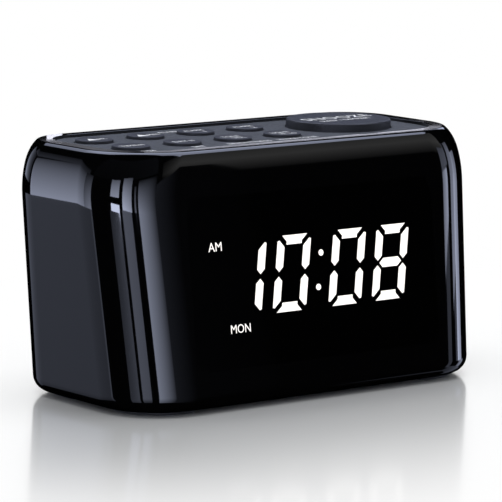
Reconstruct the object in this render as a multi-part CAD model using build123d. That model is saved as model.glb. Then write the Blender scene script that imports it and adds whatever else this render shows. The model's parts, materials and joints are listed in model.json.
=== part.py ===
from build123d import *
import math
import os

# Digital alarm clock. Millimetres, +Z up, front towards -Y, standing on its four pads at z = 0.
# The origin is the middle of the whole clock's footprint, on the table.

# ---- outer form ------------------------------------------------------------------------------
foot_height = 1.0            # what the pads lift the body off the table
body_height = 80.5           # body, from its underside to the rim
base_width = 143.0           # plan size at the underside, before the bottom edge is rounded
base_depth = 71.5
front_lean = 7.0             # degrees, the front leans back
back_lean = 1.3              # degrees, the back leans out
side_flare = 3.0             # degrees, each side leans out
front_corner_radius = 22.0   # plan corners
back_corner_radius = 18.0
bottom_round = 5.0
rim_round = 1.6
side_shoulder_height = 18.0  # the upper side turns in over this height, as part of an ellipse
side_shoulder_rise = 19.2    # half height of that ellipse
side_shoulder_run = 10.1     # half width of that ellipse
face_shoulder_height = 7.8   # the same for the front and the back
face_shoulder_rise = 8.5
face_shoulder_run = 1.6
shoulder_steps = 8
wall = 2.4
fit_gap = 0.1                # between fixed pieces that drop into each other
overcut = 2.0                # how far a cutter runs past what it cuts
root_bite = 0.4              # how far a post or stub runs into the wall that carries it

# ---- top panel and deck ----------------------------------------------------------------------
lip_width = 4.8              # flat rim around the panel
panel_recess = 1.0           # panel below the rim
panel_thickness = 1.2
deck_thickness = 1.8         # housing under the panel
lip_edge_round = 0.4

# ---- keys ------------------------------------------------------------------------------------
key_columns = 4
key_pitch = 20.0
key_block_x = -22.0          # middle of the block of keys
key_block_y = 6.4
key_diameter = 12.2
key_proud = 1.0              # above the panel
key_edge_round = 0.4
key_flange = 1.1             # how far the flange reaches past the cap
flange_thickness = 1.0
key_travel = 0.5
snooze_gap = 7.7             # between the last key and the snooze button
snooze_y = 6.2
snooze_diameter = 34.6
snooze_proud = 2.8
snooze_edge_round = 0.6
snooze_wall = 1.8
snooze_roof = 2.0
snooze_post_diameter = 9.0
snooze_travel = 0.8
button_gap = 0.25            # radial running gap around keys and snooze button
stop_gap = 0.1               # between a flange and the deck above it

# ---- switches and key board ------------------------------------------------------------------
switch_size = 6.0
switch_height = 3.5
plunger_diameter = 3.4
plunger_gap = 0.2            # radial gap between plunger and switch body
plunger_rise = 0.9           # plunger above its switch body
snooze_switch_size = 8.0
board_thickness = 1.6
board_corner = 2.0
key_board_left = 9.0         # key board past the middle of the first column of keys
key_board_right = 21.2       # and past the middle of the snooze button
key_board_depth = 39.0
key_board_y = 4.6            # its middle
key_post_inset = 4.0         # fixing posts from the key board's edges
key_post_gap = 0.3           # between the last key's flange and the posts beyond it
key_post_diameter = 5.6
key_screw_diameter = 2.0
key_screw_head = 4.0
key_screw_head_height = 1.4
key_screw_bite = 4.5

# ---- display ---------------------------------------------------------------------------------
lens_width = 98.0
lens_height = 54.0
lens_centre = 39.5           # up the front face from the underside
lens_corner = 5.0
lens_flange = 1.0            # bonding flange behind the front wall, past the window
lens_flange_thickness = 1.2
diffuser_thickness = 0.3
reflector_width = 94.0
reflector_height = 46.0
reflector_depth = 6.0
reflector_corner = 2.0
display_board_width = 113.0
display_board_height = 58.0
led_length = 2.0
led_width = 1.2
led_height = 0.8
display_post_x = 53.6
display_post_rise = 25.0     # posts above and below the middle of the lens
display_post_diameter = 5.6
display_screw_diameter = 2.2
display_screw_head = 4.2
display_screw_head_height = 1.6
display_screw_bite = 5.0

# ---- digits (slanted seven-segment figures) --------------------------------------------------
digit_height = 24.0
digit_width = 13.4
digit_slant = 10.0           # degrees
digit_centre = 40.2          # up the front face
digit_pitch = 17.8
digit_group_x = 1.4          # middle of the colon
colon_pitch = 22.4           # from the second digit to the third
segment_width = 2.95
segment_cut = 0.5            # half the gap between two segments
colon_offset = 5.4
colon_diameter = 2.0
digit_segments = ("bc", "abcdef", "abcdef", "abcdefg")   # what is lit: 10:08

# ---- back ------------------------------------------------------------------------------------
cover_width = 100.0
cover_bottom = 7.0           # up the back face from the underside
cover_top = 66.0
cover_corner = 5.0
cover_edge_round = 0.3
cover_gap = 0.15
cover_screw_inset = 5.5
cover_screw_diameter = 2.6
cover_screw_head = 5.0
cover_screw_head_height = 1.6
cover_screw_bite = 6.0
cover_pad_thickness = 1.6
cover_pad_diameter = 8.0
cover_post_diameter = 7.0
cover_post_length = 7.0
post_rib = 2.0

# ---- speaker (positions seen from behind: right, up) -----------------------------------------
speaker_right = -26.0
speaker_up = 36.5
speaker_diameter = 36.0
speaker_flange = 1.0
basket_depth = 6.6
basket_inset = 1.2           # widest part of the basket inside the flange's edge
basket_wall = 1.2
basket_floor = 1.0
magnet_diameter = 22.0
magnet_thickness = 6.0
cone_thickness = 0.5
cone_rim_inset = 3.0
cone_clearance = 1.0         # between the cone and the basket's floor
dust_cap_diameter = 11.0
surround_width = 1.4         # glued rim of the cone, between gasket and frame
gasket_width = 2.5
gasket_thickness = 1.0
screen_thickness = 0.4
grille_hole = 1.8
grille_ring_pitch = 3.9
grille_rings = 3
speaker_post_diameter = 5.0
speaker_screw_diameter = 2.0
speaker_screw_head = 6.4
speaker_screw_head_height = 1.4
speaker_screw_bite = 3.4
speaker_screws_count = 3

# ---- main board (positions seen from behind: right, up) --------------------------------------
main_board_width = 46.0
main_board_height = 38.0
main_board_right = 25.0
main_board_up = 36.5
main_board_stand = 6.6       # posts between the cover and the board
main_post_diameter = 5.6
main_post_inset = 4.0
main_screw_diameter = 2.2
main_screw_head = 4.2
main_screw_head_height = 1.6
main_screw_bite = 5.0
socket_right = 20.0
socket_up = 20.0
socket_width = 8.9
socket_height = 3.2
socket_shell = 0.3
socket_sink = 0.6            # mouth of the socket below the cover's outer face
socket_floor = 1.0
tongue_width = 6.6
tongue_thickness = 0.7
tongue_sink = 1.2
reset_hole = 2.0
reset_right = 36.0

# ---- components on the boards: length, width, height; places from the board's middle ---------
driver_size = (10.0, 8.0, 1.6)
driver_right = 30.0          # from the display's ribbon connector
resistor_size = (2.0, 1.2, 0.6)
resistor_pitch = 3.5
resistor_count = 5
display_resistor_place = (2.0, 31.0)   # first one, across and up the front face
key_resistor_drop = 5.0      # behind each key of the front row
processor_size = (10.0, 10.0, 1.6)
processor_place = (12.0, -2.0)
amplifier_size = (6.0, 5.0, 1.5)
amplifier_place = (-12.0, -4.0)
crystal_size = (11.0, 4.5, 3.5)
crystal_place = (11.0, -12.0)
capacitor_diameter = 6.3
capacitor_height = 7.7
capacitor_places = ((-9.0, -13.0), (-1.0, -13.0))
main_resistor_place = (-16.0, 9.0)     # first one
lead_plug_width = 6.0
speaker_plug_place = (-20.0, 4.0)
cell_plug_place = (-20.0, -6.0)

# ---- connectors, ribbons and leads -----------------------------------------------------------
header_width = 13.0
header_depth = 4.0
header_height = 3.0
ribbon_width = 11.0
ribbon_thickness = 0.4
ribbon_bend = 4.0
ribbon_sag = 9.0             # slack of the display ribbon below its connectors
display_header_x = -20.0
display_header_up = 40.0
key_header_x = -30.0
key_header_y = 14.0
key_header_drop = 14.0       # key ribbon, from the key board's connector to the main board's
lead_diameter = 1.2
lead_spacing = 1.6
lead_bend = 3.0
lead_end = 7.0               # straight stretch at the end of a speaker lead
lead_loop = 6.0              # how far the speaker leads stand off the main board's connector

# ---- backup cell in the floor ----------------------------------------------------------------
cell_x = -28.0
cell_y = 2.0
cell_diameter = 20.0
cell_thickness = 3.2
cap_diameter = 25.0
cap_gap = 0.25
cap_sink = 0.2               # cap above the underside
lug_reach = 1.8              # bayonet lugs past the cap
lug_thickness = 1.0
lug_angle = 24.0             # degrees of arc that a lug covers
lug_count = 2
unlock_turn = 45.0           # degrees from locked to open
notch_clearance = 3.0        # degrees each side of a lug
cap_slot_length = 14.0
cap_slot_width = 1.8
cap_slot_depth = 1.0
well_gap = 0.5               # around the turning lugs
well_wall = 1.8
well_roof = 1.2
contact_thickness = 0.3
contact_gap = 1.0            # between cell and well roof
contact_width = 4.0
contact_lift = 0.4           # side contact's lower end above the cell's underside
cell_edge = 0.4
tail_diameter = 1.0
tail_offset = 5.0            # middle contact's tail from the cell's middle
cell_rib_count = 4
cell_rib_width = 1.6
cell_float = 0.2             # around the cell and under it

# ---- pads ------------------------------------------------------------------------------------
pad_size = 20.0
pad_inset = 1.0              # pad inside the flat of the underside
pad_pocket = 0.6
pad_corner = 3.0
pad_edge_round = 0.3

# ---- screw heads (shares of the head) --------------------------------------------------------
head_round_share = 0.4
cross_length_share = 0.6
cross_width_share = 0.16

# ---- worked out from the sizes above ---------------------------------------------------------
front_slope = math.tan(math.radians(front_lean))
back_slope = math.tan(math.radians(back_lean))
side_slope = math.tan(math.radians(side_flare))
front_reach = bottom_round * (front_slope + 1 / math.cos(math.radians(front_lean)) - 1)
back_reach = back_slope * (body_height - face_shoulder_height)
front_base_y = -(base_depth + front_reach + back_reach) / 2
back_base_y = front_base_y + base_depth
underside = foot_height
rim_top = underside + body_height
panel_top = rim_top - panel_recess
panel_bottom = panel_top - panel_thickness
deck_bottom = panel_bottom - deck_thickness
floor_top = underside + wall
key_top = panel_top + key_proud
snooze_top = panel_top + snooze_proud
flange_top = deck_bottom - stop_gap
flange_bottom = flange_top - flange_thickness
switch_top = flange_bottom - plunger_rise
key_board_top = switch_top - switch_height
key_board_bottom = key_board_top - board_thickness

front_face = Plane(
    origin=(0, front_base_y, underside),
    x_dir=(1, 0, 0),
    z_dir=(0, -math.cos(math.radians(front_lean)), math.sin(math.radians(front_lean))),
).location
# Seen from behind: x runs to the viewer's right (which is -X), y up the back, z out of it.
back_face = Plane(
    origin=(0, back_base_y, underside),
    x_dir=(-1, 0, 0),
    z_dir=(0, math.cos(math.radians(back_lean)), -math.sin(math.radians(back_lean))),
).location


def write(node, shape):
    """Write one sub-part, under its node name."""
    shape.label = node
    export_step(shape, f"parts/{node}.step")


def group(shapes):
    """Several separate solids in one node."""
    return Compound([solid for shape in shapes for solid in shape.solids()])


def disc(diameter, bottom, top, x=0.0, y=0.0):
    """Upright cylinder between two heights."""
    return Pos(x, y, (bottom + top) / 2) * Cylinder(diameter / 2, top - bottom)


def slab(x_size, y_size, bottom, top, x=0.0, y=0.0):
    """Upright box between two heights."""
    return Pos(x, y, (bottom + top) / 2) * Box(x_size, y_size, top - bottom)


def tube(outer, inner, bottom, top, x=0.0, y=0.0):
    """Upright ring between two heights."""
    return disc(outer, bottom, top, x, y) - disc(inner, bottom - overcut, top + overcut, x, y)


def rounded_slab(x_size, y_size, radius, bottom, top, x=0.0, y=0.0):
    """Upright plate with rounded plan corners."""
    outline = Pos(x, y, bottom) * RectangleRounded(x_size, y_size, radius)
    return extrude(outline, amount=top - bottom, dir=(0, 0, 1))


# ---- outer form: plan sections at heights above the underside --------------------------------
def elliptic_inset(height, zone, rise, run):
    """How far a wall has turned in, at a height above the underside."""
    share = (height - (body_height - zone)) / rise
    if share <= 0:
        return 0.0
    return run * (1 - math.sqrt(1 - share**2))


def half_width(height):
    turned_in = elliptic_inset(height, side_shoulder_height, side_shoulder_rise, side_shoulder_run)
    return base_width / 2 + side_slope * height - turned_in


def front_y(height):
    turned_in = elliptic_inset(height, face_shoulder_height, face_shoulder_rise, face_shoulder_run)
    return front_base_y + front_slope * height + turned_in


def back_y(height):
    turned_in = elliptic_inset(height, face_shoulder_height, face_shoulder_rise, face_shoulder_run)
    return back_base_y + back_slope * height - turned_in


def section(height, inset=0.0):
    """Plan outline of the body at a height above the underside, drawn in by an inset."""
    level = min(height + inset, body_height)
    rise = level - height
    a = half_width(level) - side_slope * rise - inset / math.cos(math.radians(side_flare))
    f = front_y(level) - front_slope * rise + inset / math.cos(math.radians(front_lean))
    b = back_y(level) - back_slope * rise - inset / math.cos(math.radians(back_lean))
    rf = front_corner_radius - inset
    rb = back_corner_radius - inset
    z = underside + height
    k = math.sqrt(0.5)
    edges = [
        Line((-a + rf, f, z), (a - rf, f, z)),
        ThreePointArc((a - rf, f, z), (a - rf + rf * k, f + rf - rf * k, z), (a, f + rf, z)),
        Line((a, f + rf, z), (a, b - rb, z)),
        ThreePointArc((a, b - rb, z), (a - rb + rb * k, b - rb + rb * k, z), (a - rb, b, z)),
        Line((a - rb, b, z), (-a + rb, b, z)),
        ThreePointArc((-a + rb, b, z), (-a + rb - rb * k, b - rb + rb * k, z), (-a, b - rb, z)),
        Line((-a, b - rb, z), (-a, f + rf, z)),
        ThreePointArc((-a, f + rf, z), (-a + rf - rf * k, f + rf - rf * k, z), (-a + rf, f, z)),
    ]
    return Face(Wire(edges))


def form(bottom, top, inset=0.0):
    """Solid of the body's form between two heights above the underside."""
    turn = body_height - side_shoulder_height - inset
    straight = loft([section(bottom, inset), section(turn, inset)], ruled=True)
    levels = [turn + (top - turn) * step / shoulder_steps for step in range(shoulder_steps + 1)]
    shoulder = loft([section(level, inset) for level in levels])
    return straight + shoulder


def flat_section(height, inset):
    """Plan outline offset straight inwards, at its own height."""
    a = half_width(height) - inset
    f = front_y(height) + inset
    b = back_y(height) - inset
    rf = front_corner_radius - inset
    rb = back_corner_radius - inset
    outline = Pos(0, (f + b) / 2, underside + height) * Rectangle(2 * a, b - f)
    front_corners = outline.vertices().group_by(Axis.Y)[0]
    outline = fillet(front_corners, rf)
    back_corners = outline.vertices().group_by(Axis.Y)[-1]
    return fillet(back_corners, rb)


def sector(radius, angle, span):
    """Pie-shaped face of a radius, centred on an angle (degrees) about the origin."""
    half = math.radians(span / 2)
    turn = math.radians(angle)
    start = (radius * math.cos(turn - half), radius * math.sin(turn - half))
    middle = (radius * math.cos(turn), radius * math.sin(turn))
    end = (radius * math.cos(turn + half), radius * math.sin(turn + half))
    return make_face([Line((0, 0), start), ThreePointArc(start, middle, end), Line(end, (0, 0))])


# ---- where the keys are ----------------------------------------------------------------------
first_column_x = key_block_x - (key_columns - 1) / 2 * key_pitch
last_column_x = key_block_x + (key_columns - 1) / 2 * key_pitch
snooze_x = last_column_x + key_diameter / 2 + snooze_gap + snooze_diameter / 2
key_rows = {"front": key_block_y - key_pitch / 2, "rear": key_block_y + key_pitch / 2}
key_places = {}
for row, row_y in key_rows.items():
    for column in range(key_columns):
        column_x = first_column_x + column * key_pitch
        key_places[f"{row}_{column + 1}"] = (column_x, row_y)

# ---- where the fixings are -------------------------------------------------------------------
panel_side = half_width(body_height) - lip_width
panel_front = front_y(body_height) + lip_width
panel_back = back_y(body_height) - lip_width
key_board_start = first_column_x - key_board_left
key_board_end = snooze_x + key_board_right
key_post_reach = key_board_depth / 2 - key_post_inset
key_posts = [(key_block_x - key_pitch, key_block_y), (key_block_x + key_pitch, key_block_y)]
beyond_keys = last_column_x + key_diameter / 2 + key_flange + key_post_gap + key_post_diameter / 2
for post_x in (beyond_keys, key_board_end - key_post_inset):
    key_posts += [(post_x, key_board_y - key_post_reach), (post_x, key_board_y + key_post_reach)]
display_posts = [
    (side * display_post_x, lens_centre + rise)
    for side in (-1, 1)
    for rise in (-display_post_rise, display_post_rise)
]
cover_posts = [
    (side * (cover_width / 2 - cover_screw_inset), height)
    for side in (-1, 1)
    for height in (cover_bottom + cover_screw_inset, cover_top - cover_screw_inset)
]
main_posts = [
    (main_board_right + side * (main_board_width / 2 - main_post_inset),
     main_board_up + rise * (main_board_height / 2 - main_post_inset))
    for side, rise in ((-1, -1), (1, -1), (-1, 1), (1, 1))
]
speaker_posts = [
    (speaker_right + (speaker_diameter / 2 + speaker_post_diameter / 2 + fit_gap) * math.cos(turn),
     speaker_up + (speaker_diameter / 2 + speaker_post_diameter / 2 + fit_gap) * math.sin(turn))
    for turn in (math.radians(90 + 360 * n / speaker_screws_count) for n in range(speaker_screws_count))
]

# ---- depths behind the front face, and in front of the back face -----------------------------
flange_back = wall + lens_flange_thickness
diffuser_back = flange_back + diffuser_thickness
reflector_back = diffuser_back + reflector_depth
display_board_back = reflector_back + board_thickness
main_board_outer = wall + main_board_stand
main_board_inner = main_board_outer + board_thickness

# ---- coin-cell well --------------------------------------------------------------------------
cap_bottom = underside + cap_sink
lug_bottom = floor_top + fit_gap
cap_top = lug_bottom + lug_thickness
cell_bottom = cap_top + cell_float
cell_top = cell_bottom + cell_thickness
well_ceiling = cell_top + contact_gap
well_inner = cap_diameter + 2 * lug_reach + 2 * well_gap
well_outer = well_inner + 2 * well_wall
lug_turns = [360 * n / lug_count for n in range(lug_count)]


def rod(diameter, inner_end, outer_end, x, y):
    """Cylinder along local z of the front or back face; both ends are depths below that face."""
    return disc(diameter, -inner_end, -outer_end, x, y)


def plate(x_size, y_size, radius, inner_depth, outer_depth, x, y):
    """Rounded plate parallel to the front or back face, between two depths below it."""
    return rounded_slab(x_size, y_size, radius, -inner_depth, -outer_depth, x, y)


# ---- digits ----------------------------------------------------------------------------------
def slanted(points, centre_x):
    """Face through points given about an upright digit's middle, slanted and set in its place."""
    lean = math.tan(math.radians(digit_slant))
    placed = [(centre_x + x + y * lean, digit_centre + y) for x, y in points]
    return make_face(Polyline(*placed, close=True))


def segment_points(letter):
    """Corners of one segment about the middle of an upright digit."""
    w = digit_width / 2
    h = digit_height / 2
    t = segment_width
    c = segment_cut * math.sqrt(2)
    if letter in "ad":
        flip = 1 if letter == "a" else -1
        points = [(-w + c + t / 3, h), (w - c - t / 3, h), (w - c - t, h - t + t / 3), (w - c - t, h - t)]
        points += [(-w + c + t, h - t), (-w + c + t, h - t + t / 3)]
        return [(x, flip * y) for x, y in points]
    if letter == "g":
        return [(-w + t / 2 + c, 0), (-w + t + c, t / 2), (w - t - c, t / 2),
                (w - t / 2 - c, 0), (w - t - c, -t / 2), (-w + t + c, -t / 2)]
    side = 1 if letter in "bc" else -1
    half = 1 if letter in "bf" else -1
    points = [(w, h - c - t / 3), (w - t / 4, h - c - t / 4), (w - t, h - c - t), (w - t, t / 2 + c),
              (w - t / 2, c), (w, t / 2 + c)]
    return [(side * x, half * y) for x, y in points]


digit_places = [
    digit_group_x - colon_pitch / 2 - digit_pitch,
    digit_group_x - colon_pitch / 2,
    digit_group_x + colon_pitch / 2,
    digit_group_x + colon_pitch / 2 + digit_pitch,
]


def segment_faces(lit):
    """Outlines of the segments that are lit, or of those that are dark, flat at local z = 0."""
    faces = []
    for centre_x, shown in zip(digit_places, digit_segments):
        for letter in "abcdefg":
            if (letter in shown) == lit:
                faces.append(slanted(segment_points(letter), centre_x))
    if lit:
        lean = math.tan(math.radians(digit_slant))
        for rise in (-colon_offset, colon_offset):
            faces.append(Pos(digit_group_x + rise * lean, digit_centre + rise) * Circle(colon_diameter / 2))
    return faces


def segment_windows(lit):
    """Light windows that fill the lens from its back to its face."""
    return [extrude(Pos(0, 0, -flange_back) * face, amount=flange_back, dir=(0, 0, 1))
            for face in segment_faces(lit)]


# ---- housing ---------------------------------------------------------------------------------
def pad_outline(corner_x, corner_y):
    """Outline of a pad in the corner given by two signs, flat at z = 0."""
    base_edge = bottom_round + pad_inset
    outer_x = base_width / 2 - base_edge
    outer_y = (back_base_y if corner_y > 0 else -front_base_y) - base_edge
    plan_radius = back_corner_radius if corner_y > 0 else front_corner_radius
    outer_radius = min(plan_radius - base_edge, pad_size - pad_corner - 0.1)
    x = corner_x * (outer_x - pad_size / 2)
    y = corner_y * (outer_y - pad_size / 2)
    outline = Pos(x, y) * Rectangle(pad_size, pad_size)
    corners = sorted(outline.vertices(), key=lambda v: corner_x * v.X + corner_y * v.Y)
    outline = fillet(corners[-1], outer_radius)
    others = [v for v in outline.vertices() if corner_x * (v.X - x) < 0 or corner_y * (v.Y - y) < 0]
    square = [v for v in others if abs(abs(v.X - x) - pad_size / 2) < 0.01
              and abs(abs(v.Y - y) - pad_size / 2) < 0.01]
    return fillet(square, pad_corner)


def pad(corner_x, corner_y):
    solid = extrude(pad_outline(corner_x, corner_y), amount=underside + pad_pocket)
    return fillet(solid.faces().sort_by(Axis.Z)[0].edges(), pad_edge_round)


def well_cavity():
    """Room for the cap, its turning lugs and the cell, cut through the floor."""
    hole = disc(cap_diameter + 2 * cap_gap, underside - overcut, floor_top + overcut, cell_x, cell_y)
    room = disc(well_inner, floor_top, well_ceiling, cell_x, cell_y)
    cavity = hole + room
    for turn in lug_turns:
        face = sector(cap_diameter / 2 + lug_reach + cap_gap, turn + unlock_turn,
                      lug_angle + 2 * notch_clearance)
        cavity += Pos(cell_x, cell_y, underside - overcut) * extrude(face, amount=wall + overcut + fit_gap)
    return cavity


def cell_ribs():
    """Upright ribs in the well that keep the cell in the middle."""
    inner = cell_diameter / 2 + cell_float
    outer = well_inner / 2 + well_wall / 2
    ribs = []
    for n in range(cell_rib_count):
        rib = Pos((inner + outer) / 2, 0, (cell_bottom + well_ceiling) / 2) * Box(
            outer - inner, cell_rib_width, well_ceiling - cell_bottom)
        ribs.append(Pos(cell_x, cell_y, 0) * Rot(0, 0, 360 * (n + 0.5) / cell_rib_count) * rib)
    return ribs


def cover_opening(gap):
    """Rear cover's outline with a gap all round, through the back wall, in the back face's frame."""
    width = cover_width + 2 * gap
    height = cover_top - cover_bottom + 2 * gap
    middle = (cover_top + cover_bottom) / 2
    return plate(width, height, cover_corner + gap, wall + overcut, -overcut, 0, middle)


def cover_post(x, y):
    """Post that a rear-cover screw bites into, tied to the floor or to the deck by a rib."""
    near = wall + cover_pad_thickness
    far = near + cover_post_length
    post = rod(cover_post_diameter, far, near, x, y)
    low = y < (cover_bottom + cover_top) / 2
    end = wall / 2 if low else body_height - panel_recess - panel_thickness - deck_thickness / 2
    rib = Pos(x, (y + end) / 2, -(near + far) / 2) * Box(post_rib, abs(end - y), far - near)
    return post + rib


def main_housing():
    outer = form(0, body_height)
    outer = fillet(outer.edges().group_by(Axis.Z)[0], bottom_round)
    outer = fillet(outer.edges().group_by(Axis.Z)[-1], rim_round)
    cavity_top = deck_bottom - underside
    cavity = form(wall, cavity_top, wall)
    cavity = fillet(cavity.edges().group_by(Axis.Z)[0], max(bottom_round - wall, 1.0))
    shell = outer - cavity
    recess = extrude(Pos(0, 0, panel_bottom - rim_top) * flat_section(body_height, lip_width),
                     amount=rim_top - panel_bottom + overcut, dir=(0, 0, 1))
    shell -= recess
    lip = [e for e in shell.edges().group_by(Axis.Z)[-1]
           if abs(e.center().X) < panel_side + 0.1 and panel_front - 0.1 < e.center().Y < panel_back + 0.1]
    shell = fillet(lip, lip_edge_round)
    for x, y in key_places.values():
        shell -= disc(key_diameter + 2 * button_gap, deck_bottom - overcut, rim_top, x, y)
    shell -= disc(snooze_diameter + 2 * button_gap, deck_bottom - overcut, rim_top, snooze_x, snooze_y)
    for x, y in key_posts:
        shell += disc(key_post_diameter, key_board_top, panel_bottom - deck_thickness / 2, x, y)
        shell -= disc(key_screw_diameter, key_board_top - overcut, key_board_top + key_screw_bite, x, y)
    window = plate(lens_width + 2 * fit_gap, lens_height + 2 * fit_gap, lens_corner + fit_gap,
                   wall + overcut, -overcut, 0, lens_centre)
    shell -= front_face * window
    for x, y in display_posts:
        shell += front_face * rod(display_post_diameter, reflector_back, wall - root_bite, x, y)
        shell -= front_face * rod(display_screw_diameter, reflector_back + overcut,
                                  reflector_back - display_screw_bite, x, y)
    shell -= back_face * cover_opening(cover_gap)
    for x, y in cover_posts:
        shell += back_face * cover_post(x, y)
        near = wall + cover_pad_thickness
        shell -= back_face * rod(cover_screw_diameter, near + cover_screw_bite, near - overcut, x, y)
    shell += disc(well_outer, floor_top - wall / 2, well_ceiling + well_roof, cell_x, cell_y)
    shell -= well_cavity()
    for rib in cell_ribs():
        shell += rib
    for tail in contact_tails():
        shell -= tail
    for corner_x in (-1, 1):
        for corner_y in (-1, 1):
            pocket = extrude(pad_outline(corner_x, corner_y), amount=pad_pocket + overcut)
            shell -= Pos(0, 0, underside - overcut) * pocket
    return shell


# ---- display stack, in the front face's frame ------------------------------------------------
def display_lens():
    window = plate(lens_width, lens_height, lens_corner, wall, 0, 0, lens_centre)
    flange = plate(lens_width + 2 * lens_flange, lens_height + 2 * lens_flange,
                   lens_corner + lens_flange, flange_back, wall, 0, lens_centre)
    lens = window + flange
    for solid in segment_windows(True) + segment_windows(False):
        lens -= solid
    return front_face * lens


def display_diffuser():
    return front_face * plate(reflector_width, reflector_height, lens_corner, diffuser_back, flange_back,
                              0, lens_centre)


def display_reflector():
    block = plate(reflector_width, reflector_height, reflector_corner, reflector_back, diffuser_back,
                  0, lens_centre)
    for face in segment_faces(True) + segment_faces(False):
        well = extrude(Pos(0, 0, -reflector_back - overcut) * face,
                       amount=reflector_depth + 2 * overcut, dir=(0, 0, 1))
        block -= well
    return front_face * block


def display_board():
    board = plate(display_board_width, display_board_height, board_corner, display_board_back,
                  reflector_back, 0, lens_centre)
    for x, y in display_posts:
        board -= rod(display_screw_diameter, display_board_back + overcut, reflector_back - overcut, x, y)
    return front_face * board


def display_leds():
    """One LED chip behind each segment and each dot, lying along its segment."""
    chips = []
    lean = math.tan(math.radians(digit_slant))
    middle_x = (digit_width - segment_width) / 2
    middle_y = digit_height / 4
    ends = digit_height / 2 - segment_width / 2
    spots = {"a": (0, ends), "b": (middle_x, middle_y), "c": (middle_x, -middle_y), "d": (0, -ends),
             "e": (-middle_x, -middle_y), "f": (-middle_x, middle_y), "g": (0, 0)}
    bottom = -reflector_back
    for centre_x in digit_places:
        for letter, (x, y) in spots.items():
            size = (led_length, led_width) if letter in "adg" else (led_width, led_length)
            chips.append(slab(*size, bottom, bottom + led_height, centre_x + x + y * lean, digit_centre + y))
    for rise in (-colon_offset, colon_offset):
        chips.append(slab(led_width, led_width, bottom, bottom + led_height,
                          digit_group_x + rise * lean, digit_centre + rise))
    return front_face * group(chips)


def screw(head_diameter, head_height, shank_diameter, length):
    """Pan-head screw along +Z: shank from 0 to length, head from 0 down to -head_height."""
    head = disc(head_diameter, -head_height, 0)
    head = fillet(head.faces().sort_by(Axis.Z)[0].edges(), head_height * head_round_share)
    length_across = head_diameter * cross_length_share
    width_across = head_diameter * cross_width_share
    head -= Pos(0, 0, -head_height) * Box(length_across, width_across, head_height)
    head -= Pos(0, 0, -head_height) * Box(width_across, length_across, head_height)
    return head + disc(shank_diameter, 0, length)


def display_screws():
    one = screw(display_screw_head, display_screw_head_height, display_screw_diameter,
                board_thickness + display_screw_bite)
    return front_face * group([Pos(x, y, -display_board_back) * one for x, y in display_posts])


def on_board(size, board_face, x, y):
    """Component standing on a board's face that looks towards local -Z."""
    length, width, height = size
    return slab(length, width, board_face - height, board_face, x, y)


def resistor_row(board_face, first_x, y):
    return [on_board(resistor_size, board_face, first_x + resistor_pitch * n, y)
            for n in range(resistor_count)]


def display_components():
    """Driver chip and ribbon connector on the back of the display board."""
    back = -display_board_back
    connector = (header_width, header_depth, header_height)
    parts = [on_board(connector, back, display_header_x, display_header_up),
             on_board(driver_size, back, display_header_x + driver_right, display_header_up)]
    return front_face * group(parts + resistor_row(back, *display_resistor_place))


# ---- keys ------------------------------------------------------------------------------------
def top_panel():
    panel = extrude(Pos(0, 0, panel_bottom - rim_top) * flat_section(body_height, lip_width + fit_gap),
                    amount=panel_thickness, dir=(0, 0, 1))
    for x, y in key_places.values():
        panel -= disc(key_diameter + 2 * button_gap, panel_bottom - overcut, rim_top, x, y)
    panel -= disc(snooze_diameter + 2 * button_gap, panel_bottom - overcut, rim_top, snooze_x, snooze_y)
    return panel


def key_cap(x, y):
    """Cap with the flange that keeps it under the deck."""
    cap = disc(key_diameter, flange_bottom, key_top, x, y)
    cap = fillet(cap.faces().sort_by(Axis.Z)[-1].edges(), key_edge_round)
    return cap + disc(key_diameter + 2 * key_flange, flange_bottom, flange_top, x, y)


def plunger(x, y, travel):
    """Moving stud of a switch, up against the key, with room below it in the switch."""
    return disc(plunger_diameter, switch_top - travel, flange_bottom, x, y)


def switch_body(x, y, size, travel):
    body = slab(size, size, key_board_top, switch_top, x, y)
    room = disc(plunger_diameter + 2 * plunger_gap, switch_top - 2 * travel - plunger_gap,
                switch_top + overcut, x, y)
    return body - room


def switch_bodies():
    bodies = [switch_body(x, y, switch_size, key_travel) for x, y in key_places.values()]
    bodies.append(switch_body(snooze_x, snooze_y, snooze_switch_size, snooze_travel))
    return group(bodies)


def snooze_button():
    """Round cup with a flange under the deck and a post down to its switch."""
    cup = disc(snooze_diameter, flange_bottom, snooze_top, snooze_x, snooze_y)
    cup = fillet(cup.faces().sort_by(Axis.Z)[-1].edges(), snooze_edge_round)
    cup += disc(snooze_diameter + 2 * key_flange, flange_bottom, flange_top, snooze_x, snooze_y)
    cup -= disc(snooze_diameter - 2 * snooze_wall, flange_bottom - overcut, snooze_top - snooze_roof,
                snooze_x, snooze_y)
    return cup + disc(snooze_post_diameter, flange_bottom, snooze_top - snooze_roof / 2, snooze_x, snooze_y)


def key_board():
    board = rounded_slab(key_board_end - key_board_start, key_board_depth, board_corner,
                         key_board_bottom, key_board_top,
                         (key_board_start + key_board_end) / 2, key_board_y)
    for x, y in key_posts:
        board -= disc(key_screw_diameter, key_board_bottom - overcut, key_board_top + overcut, x, y)
    return board


def key_board_screws():
    one = screw(key_screw_head, key_screw_head_height, key_screw_diameter, board_thickness + key_screw_bite)
    return group([Pos(x, y, key_board_bottom) * one for x, y in key_posts])


def key_board_components():
    """Ribbon connector and resistors under the key board."""
    parts = [on_board((header_width, header_depth, header_height), key_board_bottom,
                      key_header_x, key_header_y)]
    for x, y in key_places.values():
        if y < key_block_y:
            parts.append(on_board(resistor_size, key_board_bottom, x, y + key_resistor_drop))
    return group(parts)


# ---- back, in the back face's frame ----------------------------------------------------------
surround_outer = wall + gasket_thickness
flange_outer = surround_outer + cone_thickness
flange_inner = flange_outer + speaker_flange
basket_inner = flange_inner + basket_depth


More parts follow.
